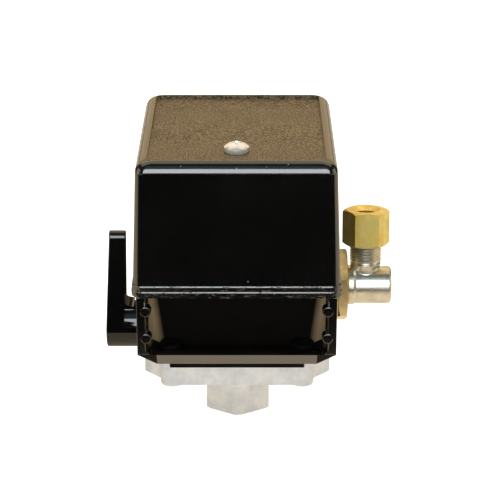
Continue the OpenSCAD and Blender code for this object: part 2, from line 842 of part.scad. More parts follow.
module unloader_seal() color("dimgray") difference() {
    rod_x(disc_r, seal_x, seal_x + seal_t, valve_y, valve_z);
    rod_x(pin_r + 0.05, seal_x - slack, seal_x + 2 * seal_t, valve_y, valve_z);
}

module unloader_spring() color("gray")
    translate([seal_x + seal_t + head_t + 0.4, valve_y, valve_z])
        rotate([0, 90, 0])
            coil(2.6, 0.7, valve_end - plug_t - seal_x - seal_t - head_t - 0.8, 4);

module unloader_plug() color("lightgray") difference() {
    rod_x(valve_chamber_r - 0.02, valve_end - plug_t, valve_end, valve_y, valve_z);
    block([valve_end - 1, valve_y - 5, valve_z - 0.5], [valve_end + slack, valve_y + 5, valve_z + 0.5]);
}

module jam_nut() color("silver") translate([spigot_end + 0.4, valve_y, valve_z])
    rotate([0, 90, 0]) difference() {
        hex_bar(11, base_in - spigot_end - 0.4, 0.3);
        translate([0, 0, -slack])
            cylinder(r = spigot_r + 0.05, h = 10);
    }

module ferrule() color("gold") on_stub(stub_top)
    rotate_extrude()
        polygon([[tube_r, -0.9], [tube_r + 0.25, -0.9], [tube_r + 1.1, -0.05],
            [tube_r + 1.1, ferrule_h - 0.5], [tube_r + 0.6, ferrule_h], [tube_r, ferrule_h]]);

module compression_nut() color("gold") on_stub(nut_low) difference() {
    hex_bar(nut_af, nut_h, 0.65);
    translate([0, 0, -slack])
        cylinder(r = stub_r + 0.05, h = stub_top - nut_low + 0.4 + slack);
    cylinder(r = tube_r + 1.2, h = stub_top - nut_low + ferrule_h);
    cylinder(r = tube_r, h = nut_h + slack);
    // Countersunk mouth
    translate([0, 0, nut_h - 1.2])
        cylinder(r1 = tube_r, r2 = tube_r + 2, h = 1.21);
}

port_casting();
diaphragm();
flange_screws();
base();
piston();
mechanism_frame();
frame_screws();
operating_beam();
beam_pin();
pin_clip();
range_stud();
range_spring();
spring_seat();
range_nut();
contact_block();
block_screws();
terminal_plates();
terminal_screws();
contact_carrier();
contact_bridges();
contact_springs();
cover_post();
cover();
cover_screw();
lever();
lever_shaft();
lever_crank();
unloader_ramp();
unloader_bracket();
unloader_body();
unloader_plunger();
unloader_seal();
unloader_spring();
unloader_plug();
jam_nut();
ferrule();
compression_nut();
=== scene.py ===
import json
import math
from contextlib import contextmanager

import bmesh
import bpy
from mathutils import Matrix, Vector

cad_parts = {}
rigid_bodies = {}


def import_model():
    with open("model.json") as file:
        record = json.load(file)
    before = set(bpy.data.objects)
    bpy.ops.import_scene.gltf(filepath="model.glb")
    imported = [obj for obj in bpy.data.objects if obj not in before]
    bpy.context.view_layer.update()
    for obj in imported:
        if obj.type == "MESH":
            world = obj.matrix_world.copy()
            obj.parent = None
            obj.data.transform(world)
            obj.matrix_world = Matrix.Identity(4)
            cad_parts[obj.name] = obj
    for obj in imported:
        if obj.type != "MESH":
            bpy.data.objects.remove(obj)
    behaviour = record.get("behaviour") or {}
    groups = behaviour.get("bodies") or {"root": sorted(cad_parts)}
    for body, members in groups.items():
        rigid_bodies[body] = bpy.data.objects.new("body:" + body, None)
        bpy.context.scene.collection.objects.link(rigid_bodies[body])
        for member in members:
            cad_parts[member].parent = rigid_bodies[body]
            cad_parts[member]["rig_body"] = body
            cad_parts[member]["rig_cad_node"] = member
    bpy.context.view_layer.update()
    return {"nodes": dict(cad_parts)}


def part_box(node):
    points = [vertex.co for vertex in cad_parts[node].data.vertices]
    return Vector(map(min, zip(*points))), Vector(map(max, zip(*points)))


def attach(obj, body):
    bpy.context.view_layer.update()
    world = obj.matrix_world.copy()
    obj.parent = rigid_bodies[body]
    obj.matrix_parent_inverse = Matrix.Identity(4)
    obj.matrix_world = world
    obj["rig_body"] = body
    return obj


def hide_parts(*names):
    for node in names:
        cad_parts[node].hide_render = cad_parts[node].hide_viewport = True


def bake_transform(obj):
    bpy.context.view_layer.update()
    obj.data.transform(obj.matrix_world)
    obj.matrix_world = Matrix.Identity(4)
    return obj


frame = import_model()
mm = 0.001


# Port casting: the foot of the switch, an octagonal flange over a bell and a hexagon with the pipe thread.
# Die cast in a pale zinc alloy and tumbled, so its edges are soft and its skin is mottled.
# Four screws go up through its corner bosses into the base.

def placed(name):
    """Name the shape that was just added, and put its place into its mesh."""
    shape = bpy.context.object
    shape.name = shape.data.name = name
    bpy.ops.object.transform_apply(location=True, rotation=True, scale=True)
    return shape


def grab(shape):
    """Make a shape the only one selected."""
    bpy.ops.object.select_all(action="DESELECT")
    shape.select_set(True)
    bpy.context.view_layer.objects.active = shape


@contextmanager
def editing(shape):
    """Edit mode on one shape, at first with all of it selected, for the lines inside."""
    grab(shape)
    bpy.ops.object.mode_set(mode="EDIT")
    bpy.ops.mesh.select_all(action="SELECT")
    yield
    bpy.ops.object.mode_set(mode="OBJECT")


def pick(shape, kind, test):
    """In edit mode, select the vertices, edges or faces of a shape that pass a test on their middle."""
    bpy.ops.mesh.select_mode(type=kind)
    bpy.ops.mesh.select_all(action="DESELECT")
    mesh = bmesh.from_edit_mesh(shape.data)
    if kind == "VERT":
        chosen = [vert for vert in mesh.verts if test(vert.co)]
    elif kind == "EDGE":
        chosen = [edge for edge in mesh.edges if test((edge.verts[0].co + edge.verts[1].co) / 2)]
    else:
        chosen = [face for face in mesh.faces if test(face.calc_center_median())]
    for element in chosen:
        element.select_set(True)
    mesh.select_flush_mode()
    bmesh.update_edit_mesh(shape.data)


def block(name, low, high):
    """A box between two corners."""
    low, high = Vector(low), Vector(high)
    bpy.ops.object.select_all(action="DESELECT")
    bpy.ops.mesh.primitive_cube_add(size=1, location=(low + high) / 2, scale=high - low)
    return placed(name)


def slab(name, low, high, corner, segments=1):
    """A block with its upright edges cut, or rounded by more segments."""
    shape = block(name, low, high)
    middle = (low[2] + high[2]) / 2
    with editing(shape):
        pick(shape, "EDGE", lambda at: abs(at.z - middle) < 0.1 * mm)
        bpy.ops.mesh.bevel(offset=corner, offset_type="OFFSET", segments=segments)
    return shape


def rod(name, radius, start, end, sides=64):
    """A round bar between two points."""
    start, end = Vector(start), Vector(end)
    turn = Vector((0, 0, 1)).rotation_difference(end - start).to_euler()
    bpy.ops.object.select_all(action="DESELECT")
    bpy.ops.mesh.primitive_cylinder_add(
        vertices=sides, radius=radius, depth=(end - start).length, location=(start + end) / 2, rotation=turn)
    return placed(name)


def stood(shape, name, at, turn):
    """Turn a finished shape, move it and put its place into its mesh."""
    shape.rotation_euler = turn
    shape.location = at
    grab(shape)
    return placed(name)


def turned(name, rings, at=(0, 0, 0), turn=(0, 0, 0), sides=64):
    """A lathe-turned solid: a disc along Z, extruded and resized from ring (radius, height) to ring."""
    radius, height = rings[0]
    bpy.ops.object.select_all(action="DESELECT")
    bpy.ops.mesh.primitive_circle_add(
        vertices=sides, radius=radius, fill_type="NGON", location=(0, 0, height))
    shape = placed(name)
    with editing(shape):
        for next_radius, next_height in rings[1:]:
            bpy.ops.mesh.extrude_region_move(TRANSFORM_OT_translate={"value": (0, 0, next_height - height)})
            growth = next_radius / radius
            bpy.ops.transform.resize(value=(growth, growth, 1), center_override=(0, 0, next_height))
            radius, height = next_radius, next_height
        bpy.ops.mesh.select_all(action="SELECT")
        bpy.ops.mesh.normals_make_consistent(inside=False)
    return stood(shape, name, at, turn)


def apply(shape, kind, **settings):
    """Add a modifier with these settings to a shape, and apply it."""
    grab(shape)
    modifier = shape.modifiers.new(kind.lower(), kind)
    for key, value in settings.items():
        setattr(modifier, key, value)
    bpy.ops.object.modifier_apply(modifier=modifier.name)


def combine(shape, operation, *tools):
    """Add tools to a shape, cut them from it, or keep what they share."""
    for tool in tools:
        apply(shape, "BOOLEAN", object=tool, operation=operation, solver="EXACT")
        bpy.data.objects.remove(tool)
    return shape


def hexagon(name, across_flats, height, chamfer, at=(0, 0, 0), turn=0.0, lean=(0, 0, 0)):
    """A hexagon bar along Z, with corners on Y before its turn and its lean, chamfered as on a lathe."""
    corner = across_flats / math.sqrt(3)
    bpy.ops.object.select_all(action="DESELECT")
    bpy.ops.mesh.primitive_cylinder_add(
        vertices=6, radius=corner, depth=2 * height, location=(0, 0, height / 2), rotation=(0, 0, turn))
    bar = placed(name)
    lathe = turned("lathe", [
        (corner - 2 * chamfer, 0), (corner + chamfer / 50, chamfer),
        (corner + chamfer / 50, height - chamfer), (corner - 2 * chamfer, height)], sides=96)
    combine(bar, "INTERSECT", lathe)
    return stood(bar, name, at, lean)


casting_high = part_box("port_casting")[1]
hex_flats = 22.2 * mm
hex_top = 10.5 * mm
flange_low = 21.2 * mm
flange_cut = 11 * mm
flange_x = casting_high.x
flange_y = 30.5 * mm
screw_x = 22.4 * mm
screw_y = 27 * mm
boss_r = 3.8 * mm
boss_drop = 0.5 * mm
corners = [(sx * screw_x, sy * screw_y) for sx in (-1, 1) for sy in (-1, 1)]

casting = slab("casting", (-flange_x, -flange_y, flange_low),
               (flange_x, flange_y, casting_high.z), flange_cut)
bell_rings = []
for step in range(10):
    sweep = math.radians(10 * step)
    bell_rings.append((hex_flats / 2 + 11 * mm * (1 - math.cos(sweep)),
                       hex_top - 1 * mm + (flange_low + 1.5 * mm - hex_top) * math.sin(sweep)))


def uprights(name, radius, low, high):
    """An upright rod at each of the four corner screws."""
    return [rod(name, radius, (x, y, low), (x, y, high)) for x, y in corners]


combine(casting, "UNION", turned("bell", bell_rings), hexagon("hexagon", hex_flats, hex_top, 0.35 * mm),
        *uprights("boss", boss_r, flange_low - boss_drop, casting_high.z - 0.2 * mm))
tap_r = 5.7 * mm
combine(casting, "DIFFERENCE",
        turned("port_bore", [(6.6 * mm, -1 * mm), (6.2 * mm, 0), (tap_r, 0.9 * mm), (tap_r, 13 * mm)]),
        rod("passage", 2.5 * mm, (0, 0, 12 * mm), (0, 0, casting_high.z)),
        rod("chamber", 20 * mm, (0, 0, casting_high.z - 3 * mm), (0, 0, casting_high.z + 1 * mm)),
        *uprights("head_seat", 3 * mm, flange_low - 2 * mm, flange_low + 2.3 * mm))
apply(casting, "REMESH", mode="VOXEL", voxel_size=0.42 * mm)
apply(casting, "SMOOTH", factor=0.5, iterations=2)
bpy.ops.object.shade_smooth()


def effect(name, inputs, outputs):
    """An empty shader node group with these value inputs, their defaults, and value outputs."""
    group = bpy.data.node_groups.new(name, "ShaderNodeTree")
    for label, default in inputs.items():
        socket = group.interface.new_socket(label, in_out="INPUT", socket_type="NodeSocketFloat")
        socket.default_value = default
    for label in outputs:
        group.interface.new_socket(label, in_out="OUTPUT", socket_type="NodeSocketFloat")
    return group, group.nodes.new("NodeGroupInput"), group.nodes.new("NodeGroupOutput")


def preset(node, values):
    """Set a node's inputs to plain values."""
    for key, value in values.items():
        node.inputs[key].default_value = value
    return node


def add(tree, kind, values, **settings):
    """A shader node with these settings and input values."""
    node = tree.nodes.new(kind)
    for key, value in settings.items():
        setattr(node, key, value)
    return preset(node, values)


def link(tree, source, output, target, into):
    """A wire from one node's output to another's input."""
    tree.links.new(source.outputs[output], target.inputs[into])


def use(tree, group, values):
    """An effect's node group in a material, with its own values."""
    return add(tree, "ShaderNodeGroup", values, node_tree=group)


def finish(name, color, roughness, metallic=0.0):
    """A material, its node tree and its shader with plain values."""
    material = bpy.data.materials.new(name)
    material.use_nodes = True
    shader = material.node_tree.nodes["Principled BSDF"]
    preset(shader, {"Base Color": (*color, 1), "Roughness": roughness, "Metallic": metallic})
    return material, material.node_tree, shader


def tint(tree, mask, low, high, socket, spread=(0.35, 0.65)):
    """A colour from low to high by a mask."""
    ramp = add(tree, "ShaderNodeValToRGB", {})
    for stop, place, color in zip(ramp.color_ramp.elements, spread, (low, high)):
        stop.position = place
        stop.color = (*color, 1)
    tree.links.new(mask, ramp.inputs["Fac"])
    tree.links.new(ramp.outputs["Color"], socket)


def vary(tree, mask, low, high, socket):
    """A value from low to high by a mask."""
    span = add(tree, "ShaderNodeMapRange", {"From Min": 0.3, "From Max": 0.7, "To Min": low, "To Max": high})
    tree.links.new(mask, span.inputs["Value"])
    tree.links.new(span.outputs["Result"], socket)


def relief(tree, height, depth, strength, shader):
    """Bumps in the surface, from a height."""
    bump = add(tree, "ShaderNodeBump", {"Strength": strength, "Distance": depth})
    tree.links.new(height, bump.inputs["Height"])
    tree.links.new(bump.outputs["Normal"], shader.inputs["Normal"])


# Skin of a casting, a moulding or a plated piece: wide patches and a fine grain.
skin, skin_in, skin_out = effect(
    "skin", {"Patches per metre": 60, "Grains per metre": 1500}, ["Patch", "Grain"])
skin_place = add(skin, "ShaderNodeTexCoord", {})
for count, detail, result in (("Patches per metre", 5, "Patch"), ("Grains per metre", 2, "Grain")):
    cloud = add(skin, "ShaderNodeTexNoise", {"Detail": detail, "Roughness": 0.6})
    link(skin, skin_place, "Object", cloud, "Vector")
    link(skin, skin_in, count, cloud, "Scale")
    link(skin, cloud, "Fac", skin_out, result)


def metal(name, low, high, roughness, patches, grains, grain_depth, metallic=1.0):
    """A metal with cloudy patches of two tones, duller in the darker ones, and a grain."""
    material, tree, shader = finish(name, high, roughness, metallic)
    surface = use(tree, skin, {"Patches per metre": patches, "Grains per metre": grains})
    tint(tree, surface.outputs["Patch"], low, high, shader.inputs["Base Color"])
    vary(tree, surface.outputs["Patch"], roughness * 1.25, roughness * 0.8, shader.inputs["Roughness"])
    relief(tree, surface.outputs["Grain"], grain_depth, 0.35, shader)
    return material


def fit(piece, body, slot, material, *nodes):
    """Give a finished piece its material and the body it rides on, and hide the CAD nodes that it stands
    for.
    """
    piece.data.materials.clear()
    piece.data.materials.append(material)
    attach(piece, body)
    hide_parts(*nodes)


cast_metal = metal("die_cast", (0.7, 0.71, 0.71), (0.9, 0.89, 0.86), 0.55, 150, 1500, 0.25 * mm,
                   metallic=0.1)
fit(casting, "switch_base", "cast_alloy", cast_metal, "port_casting")


# Pipe thread: the taper thread cut up the bore of the hexagon, which the tank's nipple screws into.
# It is cut in the casting itself, so it has the same metal.

def shade(angle):
    """Smooth the shading of the selected shape, up to this angle between its faces."""
    bpy.ops.object.shade_smooth_by_angle(angle=math.radians(angle))


def thread(name, radius, depth, pitch, low, high, at=(0, 0, 0), turn=(0, 0, 0)):
    """A helical ridge round a bar, or in a bore where depth is below 0: a profile screwed up and round."""
    bpy.ops.object.select_all(action="DESELECT")
    bpy.ops.mesh.primitive_plane_add(
        size=1, location=(radius - depth / 2, 0, low + pitch / 2), rotation=(math.pi / 2, 0, 0))
    root = 0.84
    crest = 0.2
    bpy.context.object.scale = (abs(depth), pitch * root, 1)
    ridge = placed(name)
    with editing(ridge):
        pick(ridge, "VERT", lambda at: (at.x - radius + depth / 2) * depth > 0)
        bpy.ops.transform.resize(value=(1, 1, crest), center_override=(radius, 0, low + pitch / 2))
    turns = int((high - low) / pitch)
    apply(ridge, "SCREW", axis="Z", angle=2 * math.pi, screw_offset=pitch, iterations=turns,
          steps=40, render_steps=40, use_merge_vertices=True)
    with editing(ridge):
        bpy.ops.mesh.fill_holes(sides=8)
        bpy.ops.mesh.select_all(action="SELECT")
        bpy.ops.mesh.normals_make_consistent(inside=False)
    stood(ridge, name, at, turn)
    shade(30)
    return ridge


pipe_pitch = 1.41 * mm
pipe_thread = thread("pipe_thread", tap_r + 0.1 * mm, -0.75 * mm, pipe_pitch, 0.9 * mm, 12.6 * mm)
fit(pipe_thread, "switch_base", "cast_alloy", cast_metal)


# Diaphragm: a sheet of black nitrile rubber, clamped all round between the casting and the base.
# Only its cut edge shows, as a dark line under the base.

sheet_low, sheet_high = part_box("diaphragm")
sheet = slab("rubber_sheet", sheet_low, sheet_high, flange_cut - 0.3 * mm)
combine(sheet, "DIFFERENCE", *uprights("hole", 1.9 * mm, sheet_low.z - 1 * mm, sheet_high.z + 1 * mm))


def keep_flat(shape):
    """Let large faces lead the shading, so that flat ones look flat beside rounded edges."""
    apply(shape, "WEIGHTED_NORMAL", keep_sharp=True, weight=100)


def soften(shape, width, segments=3, angle=35):
    """Round the sharp edges of a shape and keep its flat faces flat."""
    apply(shape, "BEVEL", width=width, segments=segments, limit_method="ANGLE",
          angle_limit=math.radians(angle))
    shade(angle)
    keep_flat(shape)


def dull(name, low, high, roughness, patches, grains, grain_depth):
    """A plastic or a rubber: two close tones in patches, with a grain."""
    material, tree, shader = finish(name, low, roughness)
    surface = use(tree, skin, {"Patches per metre": patches, "Grains per metre": grains})
    tint(tree, surface.outputs["Patch"], low, high, shader.inputs["Base Color"])
    vary(tree, surface.outputs["Patch"], roughness * 0.85, roughness * 1.15, shader.inputs["Roughness"])
    relief(tree, surface.outputs["Grain"], grain_depth, 0.3, shader)
    return material


rubber = dull("black_rubber", (0.012, 0.012, 0.012), (0.035, 0.034, 0.032), 0.7, 200, 2600, 0.1 * mm)
soften(sheet, 0.2 * mm)
fit(sheet, "switch_base", "nitrile", rubber, "diaphragm")


# Flange screws: four pan-head machine screws of zinc-plated steel with cross recesses.
# They go up from the casting's bosses into the base, and hold the diaphragm tight.

def pan_screw(name, at, head_r, head_h, shank_r, shank_len, turn=(0, 0, 0)):
    """A screw with its seat at a point: shank and domed head turned, cross pressed in, edges rounded."""
    edge_h = 0.5 * head_h
    dome_r = (head_r ** 2 + (head_h - edge_h) ** 2) / (2 * (head_h - edge_h))
    rings = [(shank_r * 0.7, -shank_len), (shank_r, -shank_len + 0.4 * shank_r), (shank_r, 0),
             (head_r - 0.1 * head_h, 0), (head_r, 0.12 * head_h)]
    for step in range(8):
        radius = head_r * math.cos(math.radians(12 * step))
        rings.append((radius, head_h - dome_r + math.sqrt(dome_r ** 2 - radius ** 2)))
    rings.append((0.02 * head_r, head_h))
    screw = turned(name, rings, sides=48)
    arm = 0.62 * head_r
    half = 0.15 * head_r
    floor = 0.42 * head_h
    taper = 0.55
    bars = [block("bar", (-arm, -half, floor), (arm, half, 2 * head_h)),
            block("bar", (-half, -arm, floor), (half, arm, 2 * head_h))]
    for bar in bars:
        with editing(bar):
            pick(bar, "VERT", lambda place: place.z < head_h)
            bpy.ops.transform.resize(value=(taper, taper, 1), center_override=(0, 0, floor))
    combine(screw, "DIFFERENCE", *bars)
    soften(screw, 0.03 * head_r, segments=2, angle=40)
    return stood(screw, name, at, turn)


def copies(name, first, places):
    """A shape modelled at the first place and copied to the others, as one piece."""
    made = [first]
    for place in places[1:]:
        other = first.copy()
        other.data = first.data.copy()
        bpy.context.scene.collection.objects.link(other)
        other.location = Vector(place) - Vector(places[0])
        grab(other)
        made.append(placed(name))
    grab(first)
    for shape in made:
        shape.select_set(True)
    bpy.ops.object.join()
    return placed(name)


zinc = metal("zinc_plate", (0.52, 0.53, 0.56), (0.74, 0.75, 0.76), 0.28, 400, 3000, 0.05 * mm)


def screws(name, node, seats, head_r, head_h, shank_r, shank_len, turn=(0, 0, 0)):
    """A set of like plated screws in the base, or in what is fixed to it."""
    first = pan_screw("screw", seats[0], head_r, head_h, shank_r, shank_len, turn)
    fit(copies(name, first, seats), "switch_base", "zinc_steel", zinc, node)


flange_seat = flange_low - boss_drop + 2.8 * mm
screws("corner_screws", "flange_screws", [(x, y, flange_seat) for x, y in corners],
       2.9 * mm, 2.6 * mm, 1.7 * mm, 11 * mm, turn=(math.pi, 0, 0))


# Base: the moulded trough that everything is built on, open at the near end for the cords.
# Glossy black thermoplastic with bevels under its walls, and a lip that the cover fits over.

def bisected(shape, point, normal):
    """Cut a shape by a plane, drop what the normal points at and close the cut."""
    with editing(shape):
        bpy.ops.mesh.bisect(plane_co=point, plane_no=Vector(normal).normalized(), threshold=0.001 * mm,
                            use_fill=True, clear_outer=True)


def across(axis, x):
    """The point at this x of an axis that runs across the switch."""
    return Vector((x, axis.y, axis.z))


guide_low, base_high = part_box("base")
base_low = Vector((guide_low.x, guide_low.y, sheet_high.z))
overcut = 5 * mm
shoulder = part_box("cover")[0].z
wall = 3 * mm
floor_top = base_low.z + 3 * mm
rear_in = base_high.y - 3.2 * mm
side_cut = Vector((6.4, 0, 5.4)) * mm
end_cut = Vector((0, 4.6, 5.7)) * mm
inner_cut = Vector((4.6, 0, 3.9)) * mm
inside = base_high.x - wall
sill_t = 3.4 * mm
sill_half = inside - inner_cut.x + 1.2 * mm

base = block("trough", base_low, (base_high.x, base_high.y, shoulder))
for side in (-1, 1):
    bisected(base, (side * base_high.x, 0, base_low.z + side_cut.z), (side * side_cut.z, 0, -side_cut.x))
    bisected(base, (0, side * base_high.y, base_low.z + end_cut.z), (0, side * end_cut.z, -end_cut.y))
hollow = block("hollow", (-inside, base_low.y - overcut, floor_top),
               (inside, rear_in, base_high.z + overcut))
for side in (-1, 1):
    bisected(hollow, (side * inside, 0, floor_top + inner_cut.z), (side * inner_cut.z, 0, -inner_cut.x))
sill = block("sill", (-base_high.x, base_low.y - 9 * mm, floor_top - 1 * mm),
             (base_high.x, base_low.y + sill_t, base_low.z + end_cut.z))
combine(base, "DIFFERENCE", combine(hollow, "DIFFERENCE", sill))
soften(base, 0.55 * mm, segments=4, angle=25)
apply(base, "TRIANGULATE")
lip = slab("lip", (-inside - 1.7 * mm, -rear_in - 1.3 * mm, shoulder - 1.5 * mm),
           (inside + 1.7 * mm, rear_in + 1.3 * mm, base_high.z), 2.5 * mm, segments=5)
lip_in = 0.1 * mm
combine(lip, "DIFFERENCE", block("lip_hollow", (-inside - lip_in, base_low.y, shoulder - overcut),
                                 (inside + lip_in, rear_in + lip_in, base_high.z + overcut)))
soften(lip, 0.3 * mm, segments=2, angle=40)

housing_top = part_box("mechanism_frame")[0].z
peg_r = 1.9 * mm
peg_front = base_low.y - 0.25 * mm
peg_rear = base_low.y + 3.5 * mm
pegs = []
for x in (-inside, inside):
    for height in (base_low.z + 11.6 * mm, base_low.z + 21.4 * mm):
        peg = rod("peg", peg_r, (x, peg_front, height), (x, peg_rear, height), sides=32)
        soften(peg, 0.5 * mm)
        pegs.append(peg)
sunk = floor_top - 1 * mm
frame_x = 9 * mm
frame_y = 29 * mm
bosses = uprights("screw_boss", boss_r, sunk, floor_top + 2.4 * mm)
bosses += [rod("frame_boss", boss_r, (x, frame_y, sunk), (x, frame_y, housing_top))
           for x in (-frame_x, frame_x)]
housing = rod("piston_housing", 20 * mm, (0, 0, sunk), (0, 0, housing_top))
guide_x = 22.8 * mm
guide_y = 31.65 * mm
guide_t = 1.5 * mm
guides = [block("guide", (-guide_x, place - guide_t / 2, guide_low.z),
                (guide_x, place + guide_t / 2, base_low.z + guide_t)) for place in (-guide_y, guide_y)]
for part in guides:
    soften(part, 0.3 * mm, segments=2)
for part in bosses + [housing]:
    soften(part, 0.5 * mm, segments=2)
shaft_low, shaft_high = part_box("lever_shaft")
lever_axis = (shaft_low + shaft_high) / 2
bearing = rod("bearing", boss_r, across(lever_axis, -inside - 1 * mm),
              across(lever_axis, -inside + 2.8 * mm))
combine(base, "UNION", lip, housing, bearing, *bosses, *pegs, *guides)
plunger_low, plunger_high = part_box("unloader_plunger")
valve_axis = (plunger_low + plunger_high) / 2
spigot_hole = 4.1 * mm
disc_bore = 16.5 * mm
disc_top = base_low.z + 5.5 * mm
stem_bore = 5.1 * mm
combine(base, "DIFFERENCE",
        turned("piston_bore", [(disc_bore, base_low.z - 1 * mm), (disc_bore, disc_top),
                               (stem_bore, disc_top), (stem_bore, housing_top + 1 * mm)]),
        rod("shaft_hole", 3.05 * mm, across(lever_axis, -40 * mm), across(lever_axis, -20 * mm)),
        rod("valve_hole", spigot_hole, across(valve_axis, 26 * mm), across(valve_axis, 40 * mm)))
shade(30)
with editing(base):
    for side in (-1, 1):
        bpy.ops.mesh.select_all(action="SELECT")
        bpy.ops.mesh.bisect(plane_co=(side * sill_half, 0, 0), plane_no=(1, 0, 0), threshold=0.001 * mm)
keep_flat(base)

# Dust on dark plastic: pale specks in some of the cells of a fine pattern.
dust, dust_in, dust_out = effect("dust", {"Cells per metre": 220, "Share": 0.3, "Size": 0.1}, ["Specks"])
dust_place = add(dust, "ShaderNodeTexCoord", {})
dust_cells = add(dust, "ShaderNodeTexVoronoi", {"Randomness": 1.0})
dust_near = add(dust, "ShaderNodeMath", {}, operation="LESS_THAN")
dust_some = add(dust, "ShaderNodeMath", {}, operation="LESS_THAN")
dust_both = add(dust, "ShaderNodeMath", {}, operation="MULTIPLY")
link(dust, dust_place, "Object", dust_cells, "Vector")
link(dust, dust_in, "Cells per metre", dust_cells, "Scale")
link(dust, dust_cells, "Distance", dust_near, 0)
link(dust, dust_in, "Size", dust_near, 1)
link(dust, dust_cells, "Color", dust_some, 0)
link(dust, dust_in, "Share", dust_some, 1)
link(dust, dust_near, "Value", dust_both, 0)
link(dust, dust_some, "Value", dust_both, 1)
link(dust, dust_both, "Value", dust_out, "Specks")


def moulded_black(name, roughness, wave, specks, ior=1.7, depth=0.1 * mm):
    """Glossy black moulded plastic: slow waves in the gloss, faint smears and a few specks of dust."""
    material, tree, shader = finish(name, (0.003, 0.003, 0.003), roughness)
    preset(shader, {"IOR": ior, "Specular IOR Level": 0.8})
    surface = use(tree, skin, {"Patches per metre": 45, "Grains per metre": 420})
    settled = use(tree, dust, {"Cells per metre": 330, "Share": specks, "Size": 0.075})
    tint(tree, settled.outputs["Specks"], (0.003, 0.003, 0.003), (0.3, 0.29, 0.27),
         shader.inputs["Base Color"], spread=(0, 1))
    vary(tree, surface.outputs["Patch"], roughness * 0.75, roughness * 1.35, shader.inputs["Roughness"])
    relief(tree, surface.outputs["Grain"], depth, wave, shader)
    return material


def matt_black(name):
    """Black without gloss: the phenolic as it leaves a rough tool, and a painted shade inside the base's
    trough.
    """
    material = dull(name, (0.003, 0.003, 0.003), (0.007, 0.007, 0.006), 0.6, 90, 1200, 0.06 * mm)
    shader = preset(material.node_tree.nodes["Principled BSDF"], {"Specular IOR Level": 0.05})
    return material, material.node_tree, shader


def coat(shape, material, test):
    """Give the faces of a shape that pass a test on their middle another material."""
    shape.data.materials.append(material)
    with editing(shape):
        pick(shape, "FACE", test)
        shape.active_material_index = len(shape.data.materials) - 1
        bpy.ops.object.material_slot_assign()


fit(base, "switch_base", "base_black", moulded_black("base_black", 0.14, 0.1, 0.12), "base")
sill_top = base_low.z + end_cut.z
# The trough's floor and sill, the corners beside the sill and the base's underside take the black without
# gloss: a painted shade, where the glossy base would mirror light.
coat(base, matt_black("painted_shade_black")[0], lambda at: at.z < base_low.z - 0.05 * mm
     or (abs(at.x) < inside - 2 * mm and at.z > floor_top - 0.1 * mm
         and base_low.y + 4 * mm < at.y < rear_in + 0.1 * mm)
     or (abs(at.x) < inside - 2 * mm and abs(at.z - sill_top) < 0.2 * mm)
     or (abs(at.x) > sill_half and at.z < sill_top and at.y < base_low.y + end_cut.y))


# Piston: a turned brass disc that lies on the diaphragm, with a stem up through the housing.
# Its domed end pushes the beam up as the pressure rises.

def refined(node, name, width, body, slot, material, angle=40):
    """A fuller copy of a CAD node in its place: triangles merged into whole faces and edges broken."""
    piece = frame["nodes"][node].copy()
    piece.data = piece.data.copy()
    piece.parent = None
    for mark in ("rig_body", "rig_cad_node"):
        del piece[mark]
    bpy.context.scene.collection.objects.link(piece)
    grab(piece)
    placed(name)
    bpy.ops.mesh.customdata_custom_splitnormals_clear()
    with editing(piece):
        bpy.ops.mesh.remove_doubles(threshold=0.002 * mm)
        bpy.ops.mesh.dissolve_limited(angle_limit=math.radians(0.5))
    soften(piece, width, segments=2, angle=angle)
    fit(piece, body, slot, material, node)


brass = metal("bare_brass", (0.72, 0.52, 0.19), (0.94, 0.75, 0.36), 0.2, 260, 2600, 0.05 * mm)
refined("piston", "piston_disc", 0.15 * mm, "piston_group", "bare_brass", brass)


# Mechanism: a pressed-steel frame on the housing, with the operating beam hung between its ears on a pin.
# Zinc plated, blanked and bent; the pin is held by a spring-steel clip.

spring_steel = metal("spring_steel", (0.22, 0.22, 0.23), (0.42, 0.42, 0.43), 0.32, 300, 3000, 0.04 * mm)
refined("mechanism_frame", "steel_frame", 0.2 * mm, "switch_base", "zinc_steel", zinc)
refined("operating_beam", "beam", 0.2 * mm, "beam_group", "zinc_steel", zinc)
refined("beam_pin", "pivot_pin", 0.15 * mm, "switch_base", "zinc_steel", zinc)
refined("pin_clip", "pivot_clip", 0.12 * mm, "switch_base", "spring_steel", spring_steel)
frame_seat = housing_top + 1.5 * mm
screws("steel_frame_screws", "frame_screws", [(x, frame_y, frame_seat) for x in (-frame_x, frame_x)],
       2.8 * mm, 2 * mm, 1.5 * mm, 6 * mm)
nylon = dull("white_nylon", (0.72, 0.71, 0.66), (0.8, 0.79, 0.75), 0.4, 120, 900, 0.05 * mm)
refined("unloader_ramp", "ramp", 0.25 * mm, "beam_group", "nylon", nylon)
